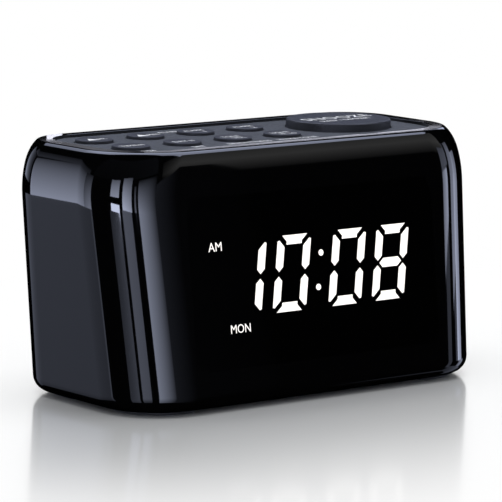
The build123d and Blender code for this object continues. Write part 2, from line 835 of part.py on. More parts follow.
def rear_cover():
    width = cover_width
    height = cover_top - cover_bottom
    middle = (cover_top + cover_bottom) / 2
    cover = plate(width, height, cover_corner, wall, 0, 0, middle)
    cover = fillet(cover.faces().sort_by(Axis.Z)[-1].edges(), cover_edge_round)
    for x, y in cover_posts:
        cover += rod(cover_pad_diameter, wall + cover_pad_thickness, wall / 2, x, y)
        cover -= rod(cover_screw_head + 2 * cover_gap, cover_screw_head_height, -overcut, x, y)
        cover -= rod(cover_screw_diameter, wall + cover_pad_thickness + overcut, -overcut, x, y)
    for x, y in speaker_posts:
        cover += rod(speaker_post_diameter, flange_inner, wall / 2, x, y)
        cover -= rod(speaker_screw_diameter, flange_inner + overcut, flange_inner - speaker_screw_bite, x, y)
    for x, y in main_posts:
        cover += rod(main_post_diameter, main_board_outer, wall / 2, x, y)
        cover -= rod(main_screw_diameter, main_board_outer + overcut,
                     main_board_outer - main_screw_bite, x, y)
    cover -= rod(grille_hole, wall + overcut, -overcut, speaker_right, speaker_up)
    for ring in range(1, grille_rings + 1):
        for n in range(6 * ring):
            turn = 2 * math.pi * n / (6 * ring)
            x = speaker_right + ring * grille_ring_pitch * math.cos(turn)
            y = speaker_up + ring * grille_ring_pitch * math.sin(turn)
            cover -= rod(grille_hole, wall + overcut, -overcut, x, y)
    cover -= plate(socket_width + 2 * cover_gap, socket_height + 2 * cover_gap,
                   socket_height / 2 - 0.01 + cover_gap, wall + overcut, -overcut, socket_right, socket_up)
    cover -= rod(reset_hole, wall + overcut, -overcut, reset_right, socket_up)
    return back_face * cover


def rear_cover_screws():
    one = screw(cover_screw_head, cover_screw_head_height, cover_screw_diameter,
                wall - cover_screw_head_height + cover_pad_thickness + cover_screw_bite)
    turned = Rot(180, 0, 0) * one
    return back_face * group([Pos(x, y, -cover_screw_head_height) * turned for x, y in cover_posts])


def speaker_gasket():
    ring = tube(speaker_diameter, speaker_diameter - 2 * gasket_width, -wall - gasket_thickness, -wall,
                speaker_right, speaker_up)
    return back_face * ring


def speaker_screen():
    """Dust screen behind the grille."""
    return back_face * rod(speaker_diameter - 2 * gasket_width - 2 * fit_gap, wall + screen_thickness, wall,
                           speaker_right, speaker_up)


def speaker_frame():
    """Flange and tapering basket, open to the front."""
    flange = rod(speaker_diameter, flange_inner, flange_outer, speaker_right, speaker_up)
    wide = speaker_diameter / 2 - basket_inset
    narrow = magnet_diameter / 2
    middle = -(flange_inner + basket_inner) / 2
    basket = Pos(speaker_right, speaker_up, middle) * Cone(narrow, wide, basket_depth)
    inner_top = wide - basket_wall
    inner_low = narrow - basket_wall
    hollow_depth = basket_depth - basket_floor
    hollow = Pos(speaker_right, speaker_up, -flange_inner - hollow_depth / 2) * Cone(
        inner_low, inner_top, hollow_depth)
    mouth = rod(2 * inner_top, flange_inner, flange_outer - overcut, speaker_right, speaker_up)
    return back_face * (flange + basket - hollow - mouth)


def speaker_cone():
    """Paper cone with its dust cap, seated on the basket's mouth."""
    rim = speaker_diameter / 2 - cone_rim_inset
    depth = flange_inner + basket_depth - basket_floor - cone_clearance - surround_outer
    seat = rod(speaker_diameter, flange_outer, surround_outer, speaker_right, speaker_up)
    seat -= rod(2 * (rim - surround_width), flange_outer + overcut, surround_outer - overcut,
                speaker_right, speaker_up)
    outer = Pos(speaker_right, speaker_up, -surround_outer - depth / 2) * Cone(
        dust_cap_diameter / 2, rim, depth)
    inner = Pos(0, 0, cone_thickness) * outer
    funnel = outer - inner
    cap = rod(dust_cap_diameter, surround_outer + depth, surround_outer + depth - cone_thickness,
              speaker_right, speaker_up)
    return back_face * (funnel + cap + seat)


def speaker_magnet():
    return back_face * rod(magnet_diameter, basket_inner + magnet_thickness, basket_inner,
                           speaker_right, speaker_up)


def speaker_screws():
    one = screw(speaker_screw_head, speaker_screw_head_height, speaker_screw_diameter, speaker_screw_bite)
    return back_face * group([Pos(x, y, -flange_inner) * one for x, y in speaker_posts])


def main_board():
    board = plate(main_board_width, main_board_height, board_corner, main_board_inner, main_board_outer,
                  main_board_right, main_board_up)
    for x, y in main_posts:
        board -= rod(main_screw_diameter, main_board_inner + overcut, main_board_outer - overcut, x, y)
    return back_face * board


def main_board_screws():
    one = screw(main_screw_head, main_screw_head_height, main_screw_diameter,
                board_thickness + main_screw_bite)
    return back_face * group([Pos(x, y, -main_board_inner) * one for x, y in main_posts])


def power_socket():
    """Upright socket: a rounded metal shell with a tongue inside, standing on the main board."""
    shell = plate(socket_width, socket_height, socket_height / 2 - 0.01, main_board_outer, socket_sink,
                  socket_right, socket_up)
    inner_width = socket_width - 2 * socket_shell
    inner_height = socket_height - 2 * socket_shell
    shell -= plate(inner_width, inner_height, inner_height / 2 - 0.01, main_board_outer - socket_floor,
                   socket_sink - overcut, socket_right, socket_up)
    tongue = Pos(socket_right, socket_up, -(main_board_outer + socket_sink + tongue_sink) / 2) * Box(
        tongue_width, tongue_thickness, main_board_outer - socket_sink - tongue_sink)
    return back_face * (shell + tongue)


def board_place(x, y):
    """Middle of something on the main board, from the board's own middle."""
    return main_board_right + x, main_board_up + y


def board_components():
    """Processor, amplifier, capacitors, crystal, ribbon and lead connectors on the inner side."""
    face = -main_board_inner
    header = (header_width, header_depth, header_height)
    plug = (lead_plug_width, header_depth, header_height)
    parts = [
        on_board(processor_size, face, *board_place(*processor_place)),
        on_board(amplifier_size, face, *board_place(*amplifier_place)),
        on_board(crystal_size, face, *board_place(*crystal_place)),
        on_board(header, face, -display_header_x, display_header_up),
        on_board(header, face, -key_header_x, key_plug_up),
        on_board(plug, face, *board_place(*speaker_plug_place)),
        on_board(plug, face, *board_place(*cell_plug_place)),
    ]
    for place in capacitor_places:
        parts.append(disc(capacitor_diameter, face - capacitor_height, face, *board_place(*place)))
    return back_face * group(parts + resistor_row(face, *board_place(*main_resistor_place)))


# ---- coin-cell cap, cell and contacts --------------------------------------------------------
def battery_cap():
    cap = disc(cap_diameter, cap_bottom, cap_top)
    for turn in lug_turns:
        lug = sector(cap_diameter / 2 + lug_reach, turn, lug_angle)
        cap += Pos(0, 0, lug_bottom) * extrude(lug, amount=lug_thickness)
    slot = slab(cap_slot_length, cap_slot_width, cap_bottom - overcut, cap_bottom + cap_slot_depth)
    return Pos(cell_x, cell_y, 0) * (cap - slot)


def coin_cell():
    cell = disc(cell_diameter, cell_bottom, cell_top, cell_x, cell_y)
    return chamfer(cell.faces().sort_by(Axis.Z)[0].edges(), cell_edge)


def contact_tails():
    """Pins of the two contacts, up through the well's roof."""
    side_y = cell_y + cell_diameter / 2 + cell_float + contact_thickness / 2
    return [disc(tail_diameter, well_ceiling, well_ceiling + well_roof + lead_diameter, cell_x, y)
            for y in (cell_y - tail_offset, side_y)]


def cell_contacts():
    """Two strips under the well's roof: one bows down to the cell's middle, one runs down its side."""
    middle_tail, side_tail = contact_tails()
    strip_length = 2 * tail_offset
    roof_strip = slab(contact_width, strip_length, well_ceiling - contact_thickness, well_ceiling,
                      cell_x, cell_y - tail_offset / 2)
    foot = slab(contact_width, contact_width / 2, cell_top, well_ceiling, cell_x, cell_y)
    side_y = cell_y + cell_diameter / 2 + cell_float + contact_thickness / 2
    side_strip = slab(contact_width, contact_thickness, cell_bottom + contact_lift, well_ceiling,
                      cell_x, side_y)
    return group([roof_strip + foot + middle_tail, side_strip + side_tail])


# ---- ribbons and leads -----------------------------------------------------------------------
def face_point(place, x, y, depth):
    """A point given on the front or back face, at a depth below it, in the clock's frame."""
    return (place * Pos(x, y, -depth)).position


display_plug = face_point(front_face, display_header_x, display_header_up,
                          display_board_back + header_height)
board_plug = face_point(back_face, -display_header_x, display_header_up, main_board_inner + header_height)
key_plug_z = key_board_bottom - header_height
key_plug_up = key_plug_z - key_header_drop - underside
key_board_plug = face_point(back_face, -key_header_x, key_plug_up, main_board_inner + header_height)


def ribbon(points, x):
    """Flat ribbon whose middle runs through points in the YZ plane."""
    path = FilletPolyline(*points, radius=ribbon_bend)
    band = trace(path, ribbon_thickness)
    return Plane.YZ.location * Pos(0, 0, x - ribbon_width / 2) * extrude(band, amount=ribbon_width)


def display_ribbon():
    start = (display_plug.Y + ribbon_thickness / 2 * front_slope, display_plug.Z)
    end = (board_plug.Y - ribbon_thickness / 2 * back_slope, board_plug.Z)
    span = end[0] - start[0]
    points = [start, (start[0] + span * 0.3, start[1]), (start[0] + span * 0.5, start[1] - ribbon_sag),
              (start[0] + span * 0.72, end[1]), end]
    return ribbon(points, display_header_x)


def key_ribbon():
    points = [(key_header_y, key_plug_z), (key_header_y, key_board_plug.Z),
              (key_board_plug.Y, key_board_plug.Z)]
    return ribbon(points, key_header_x)


def lead(points, bends):
    """Round lead through points, with a bend radius at each corner."""
    path = FilletPolyline(*points, radius=bends)
    start = Plane(origin=path @ 0, z_dir=path % 0)
    return sweep(start * Circle(lead_diameter / 2), path=path)


def speaker_leads():
    """Two leads from the magnet's rim across to the main board."""
    x, y = board_place(*speaker_plug_place)
    start_depth = basket_inner + magnet_thickness / 2
    loop_depth = main_board_inner + header_height + lead_loop
    start_x = speaker_right + magnet_diameter / 2
    route = [(start_x, speaker_up, start_depth), (start_x + lead_end, speaker_up, start_depth),
             (x - lead_end, (speaker_up + y) / 2, loop_depth), (x, y, loop_depth),
             (x, y, main_board_inner + header_height)]
    leads = []
    for side in (-0.5, 0.5):
        points = [face_point(back_face, px, py + side * lead_spacing, depth) for px, py, depth in route]
        leads.append(lead(points, lead_bend))
    return group(leads)


def cell_leads():
    """Two leads from the contacts' tails on the well's roof across to the main board."""
    plug = face_point(back_face, *board_place(*cell_plug_place), main_board_inner + header_height)
    height = well_ceiling + well_roof + lead_diameter / 2
    turn_x = (cell_x + well_outer / 2 + plug.X) / 2
    leads = []
    for side, tail in zip((0.5, -0.5), contact_tails()):
        x = plug.X + side * lead_spacing
        y = tail.center().Y
        points = [(cell_x + tail_diameter / 2, y, height), (turn_x, y, height),
                  (x, (y + plug.Y) / 2, plug.Z), (x, plug.Y, plug.Z)]
        leads.append(lead(points, lead_bend))
    return group(leads)


# ---- write every sub-part --------------------------------------------------------------------
os.makedirs("parts", exist_ok=True)
write("main_housing", main_housing())
write("display_lens", display_lens())
write("lit_segments", front_face * group(segment_windows(True)))
write("unlit_segments", front_face * group(segment_windows(False)))
write("display_diffuser", display_diffuser())
write("display_reflector", display_reflector())
write("display_board", display_board())
write("display_leds", display_leds())
write("display_components", display_components())
write("display_screws", display_screws())
write("top_panel", top_panel())
write("key_board", key_board())
write("key_board_components", key_board_components())
write("key_board_screws", key_board_screws())
write("switch_bodies", switch_bodies())
write("snooze_button", snooze_button())
write("snooze_plunger", plunger(snooze_x, snooze_y, snooze_travel))
for place, (place_x, place_y) in key_places.items():
    write(f"key_{place}", key_cap(place_x, place_y))
    write(f"plunger_{place}", plunger(place_x, place_y, key_travel))
write("rear_cover", rear_cover())
write("rear_cover_screws", rear_cover_screws())
write("speaker_screen", speaker_screen())
write("speaker_gasket", speaker_gasket())
write("speaker_frame", speaker_frame())
write("speaker_cone", speaker_cone())
write("speaker_magnet", speaker_magnet())
write("speaker_screws", speaker_screws())
write("speaker_leads", speaker_leads())
write("main_board", main_board())
write("main_board_screws", main_board_screws())
write("board_components", board_components())
write("power_socket", power_socket())
write("display_ribbon", display_ribbon())
write("key_ribbon", key_ribbon())
write("battery_cap", battery_cap())
write("coin_cell", coin_cell())
write("cell_contacts", cell_contacts())
write("cell_leads", cell_leads())
write("pad_front_left", pad(-1, -1))
write("pad_front_right", pad(1, -1))
write("pad_rear_left", pad(-1, 1))
write("pad_rear_right", pad(1, 1))
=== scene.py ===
"""Digital alarm clock: housing, top panel, keys, display, legends, finishes and studio on its CAD frame."""

import bmesh
import bpy
import json
import math
from bpy.props import FloatProperty, FloatVectorProperty, IntProperty, PointerProperty
from mathutils import Matrix, Vector


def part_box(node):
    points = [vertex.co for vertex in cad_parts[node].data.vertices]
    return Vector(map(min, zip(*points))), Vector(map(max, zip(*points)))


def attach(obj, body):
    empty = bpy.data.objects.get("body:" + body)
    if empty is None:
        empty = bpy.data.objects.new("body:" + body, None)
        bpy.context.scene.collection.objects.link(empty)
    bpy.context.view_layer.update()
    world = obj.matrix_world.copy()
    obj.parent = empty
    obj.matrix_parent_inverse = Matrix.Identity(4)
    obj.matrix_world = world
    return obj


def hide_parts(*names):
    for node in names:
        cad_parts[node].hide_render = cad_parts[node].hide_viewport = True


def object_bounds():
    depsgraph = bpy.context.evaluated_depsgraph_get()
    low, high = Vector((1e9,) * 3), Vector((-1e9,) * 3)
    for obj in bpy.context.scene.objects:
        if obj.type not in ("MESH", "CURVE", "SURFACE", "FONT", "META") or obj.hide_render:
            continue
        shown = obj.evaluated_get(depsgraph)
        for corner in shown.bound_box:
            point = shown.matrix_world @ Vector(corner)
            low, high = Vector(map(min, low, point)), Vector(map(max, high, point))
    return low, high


bl_info = {
    "name": "Digital Alarm Clock",
    "version": (1, 0, 0),
    "blender": (4, 5, 0),
    "location": "View3D > Sidebar > Clock",
    "description": "Builds the housing, keys, display, legends, finishes and studio of a bedside alarm clock",
    "category": "Object",
}

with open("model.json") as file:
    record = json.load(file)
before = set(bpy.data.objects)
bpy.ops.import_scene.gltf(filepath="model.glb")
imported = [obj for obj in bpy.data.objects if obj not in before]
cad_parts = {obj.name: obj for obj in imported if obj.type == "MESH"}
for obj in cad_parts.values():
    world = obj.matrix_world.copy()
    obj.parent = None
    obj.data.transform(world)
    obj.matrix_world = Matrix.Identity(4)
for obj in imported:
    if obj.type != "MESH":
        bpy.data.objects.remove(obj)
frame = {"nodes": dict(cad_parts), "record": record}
cad_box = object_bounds()

MM = 0.001
UP = Vector((0, 0, 1))


# ---- what a user can change ----------------------------------------------------------------------
def length(name, description, default_mm):
    """A length property whose default is given in millimetres."""
    return FloatProperty(name=name, description=description, default=default_mm * MM, min=0.0,
                         unit="LENGTH", subtype="DISTANCE", precision=5)


def angle(name, description, default_degrees):
    """An angle property whose default is given in degrees."""
    return FloatProperty(name=name, description=description, default=math.radians(default_degrees),
                         unit="ROTATION", subtype="ANGLE")


def colour(name, description, default):
    """A linear colour property."""
    return FloatVectorProperty(name=name, description=description, default=default, size=3,
                               subtype="COLOR", min=0.0, max=1.0)


def share(name, description, default, highest=1.0):
    """A plain number from nought up."""
    return FloatProperty(name=name, description=description, default=default, min=0.0, max=highest)


class ClockShape(bpy.types.PropertyGroup):
    """Sizes of the clock's outer pieces, the same as in its CAD model"""

    base_width: length("Base width", "Plan width at the underside", 143.0)
    base_depth: length("Base depth", "Plan depth at the underside", 71.5)
    front_lean: angle("Front lean", "How far the front leans back", 7.0)
    back_lean: angle("Back lean", "How far the back leans out", 1.3)
    side_flare: angle("Side flare", "How far each side leans out", 3.0)
    front_corner: length("Front corner radius", "Plan radius of the two front corners", 22.0)
    back_corner: length("Back corner radius", "Plan radius of the two back corners", 18.0)
    bottom_round: length("Bottom round", "Radius of the edge round the underside", 5.0)
    rim_round: length("Rim round", "Radius of the outer edge of the rim", 1.6)
    side_shoulder_height: length("Side shoulder height", "Height over which the sides turn in", 18.0)
    side_shoulder_rise: length("Side shoulder rise", "Half height of the sides' ellipse", 19.2)
    side_shoulder_run: length("Side shoulder run", "Half width of the sides' ellipse", 10.1)
    face_shoulder_height: length("Face shoulder height", "Height over which front and back turn in", 7.8)
    face_shoulder_rise: length("Face shoulder rise", "Half height of their ellipse", 8.5)
    face_shoulder_run: length("Face shoulder run", "Half width of their ellipse", 1.6)
    wall: length("Wall", "Thickness of the housing", 2.4)
    lip_width: length("Lip width", "Flat rim round the top panel", 4.8)
    lip_round: length("Lip round", "Radius of the rim's inner edge", 0.15)
    deck: length("Deck", "Thickness of the housing under the top panel", 1.8)
    panel_gap: length("Panel gap", "Gap round the top panel", 0.1)
    button_gap: length("Button gap", "Gap round each key and the snooze button", 0.25)
    key_diameter: length("Key diameter", "Diameter of a key's cap", 12.2)
    key_edge: length("Key edge", "Radius of a key's top edge", 0.4)
    snooze_diameter: length("Snooze diameter", "Diameter of the snooze button", 34.6)
    snooze_edge: length("Snooze edge", "Radius of the snooze button's top edge", 0.6)
    snooze_wall: length("Snooze wall", "Wall of the snooze button's cup", 1.8)
    snooze_roof: length("Snooze roof", "Top thickness of the snooze button's cup", 2.0)
    snooze_post: length("Snooze post", "Diameter of the post under the snooze button", 9.0)
    flange: length("Flange", "Thickness of the flange that keeps a button in", 1.0)
    window_width: length("Window width", "Width of the display window", 98.0)
    window_height: length("Window height", "Height of the display window", 54.0)
    window_corner: length("Window corner", "Corner radius of the display window", 5.0)
    window_centre: length("Window centre", "Middle of the window, up the front face", 39.5)
    cover_width: length("Cover width", "Width of the rear cover", 100.0)
    cover_bottom: length("Cover bottom", "Lower edge of the cover, up the back face", 7.0)
    cover_top: length("Cover top", "Upper edge of the cover, up the back face", 66.0)
    cover_corner: length("Cover corner", "Corner radius of the rear cover", 5.0)
    cover_gap: length("Cover gap", "Gap round the rear cover", 0.15)
    pad_size: length("Pad size", "Side of each rubber pad", 20.0)
    pad_inset: length("Pad inset", "Pad inside the flat of the underside", 1.0)
    pad_pocket: length("Pad pocket", "Depth that a pad is let into the underside", 0.6)
    pad_corner: length("Pad corner", "Radius of a pad's inner corners", 3.0)
    cap_diameter: length("Cap diameter", "Diameter of the coin-slot cap", 25.0)
    cap_gap: length("Cap gap", "Gap round the cap", 0.25)
    lug_reach: length("Lug reach", "How far the cap's lugs stand out", 1.8)
    lug_span: angle("Notch span", "Arc of each notch that a lug drops through", 30.0)
    lug_turn: angle("Notch turn", "Where the notches are", 45.0)
    well_height: length("Well height", "Top of the cell's well above the underside", 9.1)
    well_wall: length("Well wall", "Wall of the cell's well", 1.8)
    well_roof: length("Well roof", "Roof of the cell's well", 1.2)
    corner_steps: IntProperty(name="Corner steps", description="Faces round each plan corner", default=24,
                              min=4, max=96)
    round_steps: IntProperty(name="Round steps", description="Faces across each rounded edge", default=8,
                             min=2, max=32)
    circle_steps: IntProperty(name="Circle steps", description="Faces round each button", default=96,
                              min=12, max=256)


class ClockFinish(bpy.types.PropertyGroup):
    """Colours of the clock's finishes"""

    housing: colour("Housing", "High gloss black of the housing", (0.0012, 0.0012, 0.0014))
    panel: colour("Panel", "Fine matte charcoal of the top panel", (0.038, 0.040, 0.042))
    key: colour("Keys", "Matte charcoal of keys and snooze button", (0.024, 0.025, 0.031))
    cover: colour("Cover", "Spark-textured black of the rear cover", (0.018, 0.018, 0.020))
    rubber: colour("Pads", "Soft rubber of the pads", (0.020, 0.020, 0.022))
    legend: colour("Legends", "Ink of the printed legends", (0.95, 0.95, 0.97))
    light: colour("Display light", "Colour of the lit figures", (1.0, 0.956, 0.913))


class ClockStudio(bpy.types.PropertyGroup):
    """Camera, floor and lamps"""

    azimuth: angle("Azimuth", "Camera's turn towards the left of the front", 37.507)
    elevation: angle("Elevation", "Camera's height above the horizon", 8.617)
    roll: angle("Roll", "Camera's roll", 0.361)
    distance: length("Distance", "Camera to the point that it looks at", 1190.5)
    aim: FloatVectorProperty(name="Aim", description="Point that the camera looks at", size=3,
                             default=(-0.00017, 0.00187, 0.04283), unit="LENGTH", subtype="TRANSLATION")
    lens: FloatProperty(name="Lens", description="Focal length in millimetres", default=263.3, min=1.0)
    sky: share("Sky", "Strength of the light from all round", 0.55, 10.0)
    overhead: share("Overhead", "Radiance of the softbox over the clock", 2.9, 50.0)
    floor_rough: share("Floor roughness", "Roughness of the glossy floor", 0.28)
    coat_rough: share("Floor coat roughness", "Roughness of the lacquer on the floor", 0.12)
    floor_reach: length("Floor reach", "How far from the clock the floor turns plain white", 178.0)


# ---- outer form: plan sections at heights above the underside ------------------------------------
LEFT, RIGHT, FRONT, BACK = -1, 1, -1, 1
RIM_SEARCHES = 24
CORNERS = ((LEFT, FRONT, 180), (RIGHT, FRONT, 270), (RIGHT, BACK, 0), (LEFT, BACK, 90))


class Form:
    """The body's outer form. Heights are above its underside; a station is a place round its outline."""

    def __init__(self, shape):
        low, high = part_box("main_housing")
        self.shape = shape
        self.base = low.z
        self.height = high.z - low.z
        self.front_slope = math.tan(shape.front_lean)
        self.back_slope = math.tan(shape.back_lean)
        self.side_slope = math.tan(shape.side_flare)
        rounded = shape.bottom_round * (self.front_slope + 1 / math.cos(shape.front_lean) - 1)
        leaning = self.back_slope * (self.height - shape.face_shoulder_height)
        self.front_base = -(shape.base_depth + rounded + leaning) / 2
        self.back_base = self.front_base + shape.base_depth
        self.straight = self.height - shape.side_shoulder_height
        self.planar = self.height - shape.face_shoulder_height
        self.stations = self.make_stations()

    def make_stations(self):
        """Side, face and direction of each station, anticlockwise from the front left corner."""
        steps = self.shape.corner_steps
        stations = []
        for side, face, start in CORNERS:
            for step in range(steps + 1):
                stations.append((side, face, math.radians(start + 90 * step / steps)))
        return stations

    def turn_in(self, height, zone, rise, run):
        """How far a wall has turned in at a height, and how fast it turns in there."""
        part = (height - (self.height - zone)) / rise
        if part <= 0:
            return 0.0, 0.0
        root = math.sqrt(1 - part * part)
        return run * (1 - root), run * part / (rise * root)

    def section(self, height):
        """Half width, front and back at a height, and how fast each of them changes."""
        s = self.shape
        side, side_rate = self.turn_in(height, s.side_shoulder_height, s.side_shoulder_rise,
                                       s.side_shoulder_run)
        face, face_rate = self.turn_in(height, s.face_shoulder_height, s.face_shoulder_rise,
                                       s.face_shoulder_run)
        reach = s.base_width / 2 + self.side_slope * height - side
        front = self.front_base + self.front_slope * height + face
        back = self.back_base + self.back_slope * height - face
        return (reach, front, back), (self.side_slope - side_rate, self.front_slope + face_rate,
                                      self.back_slope - face_rate)

    def radius(self, face):
        return self.shape.front_corner if face == FRONT else self.shape.back_corner

    def centre(self, station, height):
        """Middle of a station's corner at a height."""
        side, face, _ = station
        (reach, front, back), _ = self.section(height)
        edge = front if face == FRONT else back
        return Vector((side * (reach - self.radius(face)), edge - face * self.radius(face),
                       self.base + height))

    def out(self, station):
        """Level direction that a station faces."""
        return Vector((math.cos(station[2]), math.sin(station[2]), 0))

    def normal(self, station, height):
        side, face, _ = station
        _, (reach_rate, front_rate, back_rate) = self.section(height)
        out = self.out(station)
        rate = side * reach_rate * out.x + (front_rate if face == FRONT else back_rate) * out.y
        return Vector((out.x, out.y, -rate)).normalized()

    def point(self, station, height):
        return self.centre(station, height) + self.out(station) * self.radius(station[1])

    def inner_point(self, station, height):
        """The inner skin at a height: each wall moved in by the wall's thickness."""
        s = self.shape
        side, face, _ = station
        level = min(height + s.wall, self.height)
        rise = level - height
        (reach, front, back), _ = self.section(level)
        reach -= self.side_slope * rise + s.wall / math.cos(s.side_flare)
        if face == FRONT:
            edge = front - self.front_slope * rise + s.wall / math.cos(s.front_lean)
        else:
            edge = back - self.back_slope * rise - s.wall / math.cos(s.back_lean)
        small = self.radius(face) - s.wall
        corner = Vector((side * (reach - small), edge - face * small, self.base + height))
        return corner + self.out(station) * small

    def flat_point(self, station, inset, z):
        """The rim's outline moved straight in by an inset, at a height above the table."""
        place = self.centre(station, self.height) + self.out(station) * (self.radius(station[1]) - inset)
        return Vector((place.x, place.y, z))

    def base_ball(self, station):
        """Middle of the ball that rounds the bottom edge, and the wall's direction there."""
        direction = self.normal(station, self.shape.bottom_round)
        radius = self.shape.bottom_round
        touch = radius * (1 + direction.z)
        return self.point(station, touch) - direction * radius, direction, touch

    def rim_ball(self, station):
        """Middle of the ball that rounds the rim, and the wall's direction where it starts."""
        radius = self.shape.rim_round
        touch = self.height - radius / 2
        for _ in range(RIM_SEARCHES):
            touch = self.height - radius * (1 - self.normal(station, touch).z)
        direction = self.normal(station, touch)
        return self.point(station, touch) - direction * radius, direction, touch


class FacePlane:
    """The flat front or back face: x across, a distance up the face, and a depth below it."""

    def __init__(self, form, face):
        lean = form.shape.front_lean if face == FRONT else -form.shape.back_lean
        self.origin = Vector((0, form.front_base if face == FRONT else form.back_base, form.base))
        self.up = Vector((0, math.sin(abs(lean)), math.cos(lean)))
        self.normal = Vector((0, face * math.cos(lean), math.sin(lean)))

    def at(self, x, rise, depth=0.0):
        return self.origin + Vector((x, 0, 0)) + self.up * rise - self.normal * depth


# ---- outlines ------------------------------------------------------------------------------------
def circle(radius, steps, x=0.0, y=0.0):
    return [(x + radius * math.cos(2 * math.pi * n / steps), y + radius * math.sin(2 * math.pi * n / steps))
            for n in range(steps)]


def rounded_box(width, height, radii, steps, x=0.0, y=0.0):
    """Rectangle with its own radius at each corner, anticlockwise from the corner at +x, +y."""
    points = []
    quarters = ((1, 1), (-1, 1), (-1, -1), (1, -1))
    for number, ((side, face), radius) in enumerate(zip(quarters, radii)):
        for step in range(steps + 1):
            turn = math.radians(90 * (number + step / steps))
            points.append((x + side * (width / 2 - radius) + radius * math.cos(turn),
                           y + face * (height / 2 - radius) + radius * math.sin(turn)))
    return points


def at_height(outline, z):
    return [Vector((x, y, z)) for x, y in outline]


# ---- mesh building -------------------------------------------------------------------------------
POST_STEPS = 24


def add_object(name, data):
    """A new object in the scene."""
    thing = bpy.data.objects.new(name, data)
    bpy.context.scene.collection.objects.link(thing)
    return thing


class Skin:
    """A closed mesh under construction, made of loops of points and the bands and lids between them."""

    def __init__(self):
        self.bm = bmesh.new()
        self.direction = self.bm.verts.layers.float_vector.new("direction")
        self.curved = self.bm.faces.layers.int.new("curved")

    def loop(self, points, directions=None):
        """New corners through points, each with the direction the surface faces there, if it's curved."""
        corners = [self.bm.verts.new(point) for point in points]
        for corner, direction in zip(corners, directions or ()):
            corner[self.direction] = direction
        return corners

    def band(self, first, second, curved=False, gaps=()):
        """Faces between two closed loops of as many corners, leaving out those that gaps lists."""
        count = len(first)
        for n in range(count):
            if n in gaps:
                continue
            m = (n + 1) % count
            face = self.bm.faces.new((first[n], first[m], second[m], second[n]))
            face[self.curved] = int(curved)

    def lid(self, outer, holes=(), facing=UP):
        """Flat faces inside one loop and outside others."""
        edges = []
        for corners in (outer, *holes):
            for n, corner in enumerate(corners):
                pair = (corner, corners[(n + 1) % len(corners)])
                edges.append(self.bm.edges.get(pair) or self.bm.edges.new(pair))
        bmesh.ops.triangle_fill(self.bm, use_beauty=True, use_dissolve=False, edges=edges, normal=facing)

    def tube(self, low, high, outer, inner, hole_depth, axis):
        """A closed post from low to high with a blind hole in its high end."""
        side = axis.orthogonal().normalized()
        across = axis.cross(side)

        def ring(centre, radius):
            return self.loop([centre + side * x + across * y for x, y in circle(radius, POST_STEPS)])

        outside = [ring(low, outer), ring(high, outer)]
        inside = [ring(high, inner), ring(high - axis * hole_depth, inner)]
        self.band(outside[0], outside[1])
        self.band(outside[1], inside[0])
        self.band(inside[0], inside[1])
        self.lid(outside[0], facing=-axis)
        self.lid(inside[1], facing=axis)

    def finish(self, name, crease=30):
        """Turn the loops into an object with clean, outward faces."""
        bm = self.bm
        bmesh.ops.recalc_face_normals(bm, faces=bm.faces[:])
        open_edges = [edge for edge in bm.edges if len(edge.link_faces) != 2]
        if open_edges:
            raise ValueError(f"{name} has {len(open_edges)} open edges")
        mesh = bpy.data.meshes.new(name)
        bm.to_mesh(mesh)
        bm.free()
        shade(mesh, crease)
        return add_object(name, mesh)


def shade(mesh, crease):
    """Smooth shading with creases, and exact directions on the faces that are marked as curved."""
    directions = mesh.attributes["direction"].data
    curved = mesh.attributes["curved"].data
    if any(face.value for face in curved):
        normals = []
        for polygon in mesh.polygons:
            exact = curved[polygon.index].value
            for corner in polygon.vertices:
                normals.append(Vector(directions[corner].vector) if exact else polygon.normal.copy())
        mesh.shade_smooth()
        mesh.normals_split_custom_set(normals)
    else:
        mesh.shade_smooth()
        mesh.set_sharp_from_angle(angle=math.radians(crease))
    for extra in ("direction", "curved"):
        mesh.attributes.remove(mesh.attributes[extra])


def turned(name, profile, x, y, steps):
    """A solid of revolution about an upright axis; the profile runs from axis to axis."""
    skin = Skin()
    loops = []
    for radius, z in profile:
        if radius > 0:
            loops.append(skin.loop(at_height(circle(radius, steps, x, y), z)))
    for first, second in zip(loops, loops[1:]):
        skin.band(first, second)
    for corners, z in ((loops[0], profile[0][1]), (loops[-1], profile[-1][1])):
        tip = skin.loop([Vector((x, y, z))])[0]
        for n, corner in enumerate(corners):
            skin.bm.faces.new((corner, corners[(n + 1) % len(corners)], tip))
    return skin.finish(name)


def settle(piece, body, slot, node):
    """Give a piece its finish and its body, and hide the CAD node that it takes the place of."""
    piece.data.materials.append(finish_for(slot))
    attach(piece, body)
    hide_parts(node)


def body_of_node(node):
    """The body that a CAD node belongs to."""
    bodies = frame["record"]["behaviour"]["bodies"]
    return next(body for body, nodes in bodies.items() if node in nodes)


def middle_of(node):
    """Plan position of the middle of a CAD node."""
    low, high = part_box(node)
    return (low.x + high.x) / 2, (low.y + high.y) / 2


BUTTONS = ("key_rear_1", "key_rear_2", "key_rear_3", "key_rear_4",
           "key_front_1", "key_front_2", "key_front_3", "key_front_4")
SNOOZE = "snooze_button"


def button_holes(shape):
    """Place and radius of the hole for each key and for the snooze button."""
    holes = [(*middle_of(node), shape.key_diameter / 2 + shape.button_gap) for node in BUTTONS]
    return holes + [(*middle_of(SNOOZE), shape.snooze_diameter / 2 + shape.button_gap)]


# ---- housing -------------------------------------------------------------------------------------
SIDE_TURNS = 5
SHOULDER_TURNS = 8
SHOULDER_ARC = math.radians(66)
INNER_TURNS = 4
POST_RADIUS = 2.8 * MM
POST_HOLE = 1.1 * MM
POST_BITE = 5.0 * MM
POST_ROOT = 0.4 * MM
DISPLAY_POST_ACROSS = 53.6 * MM
DISPLAY_POST_RISE = 25 * MM
DISPLAY_POST_LENGTH = 7.5 * MM
SCREW_REACH = 6 * MM


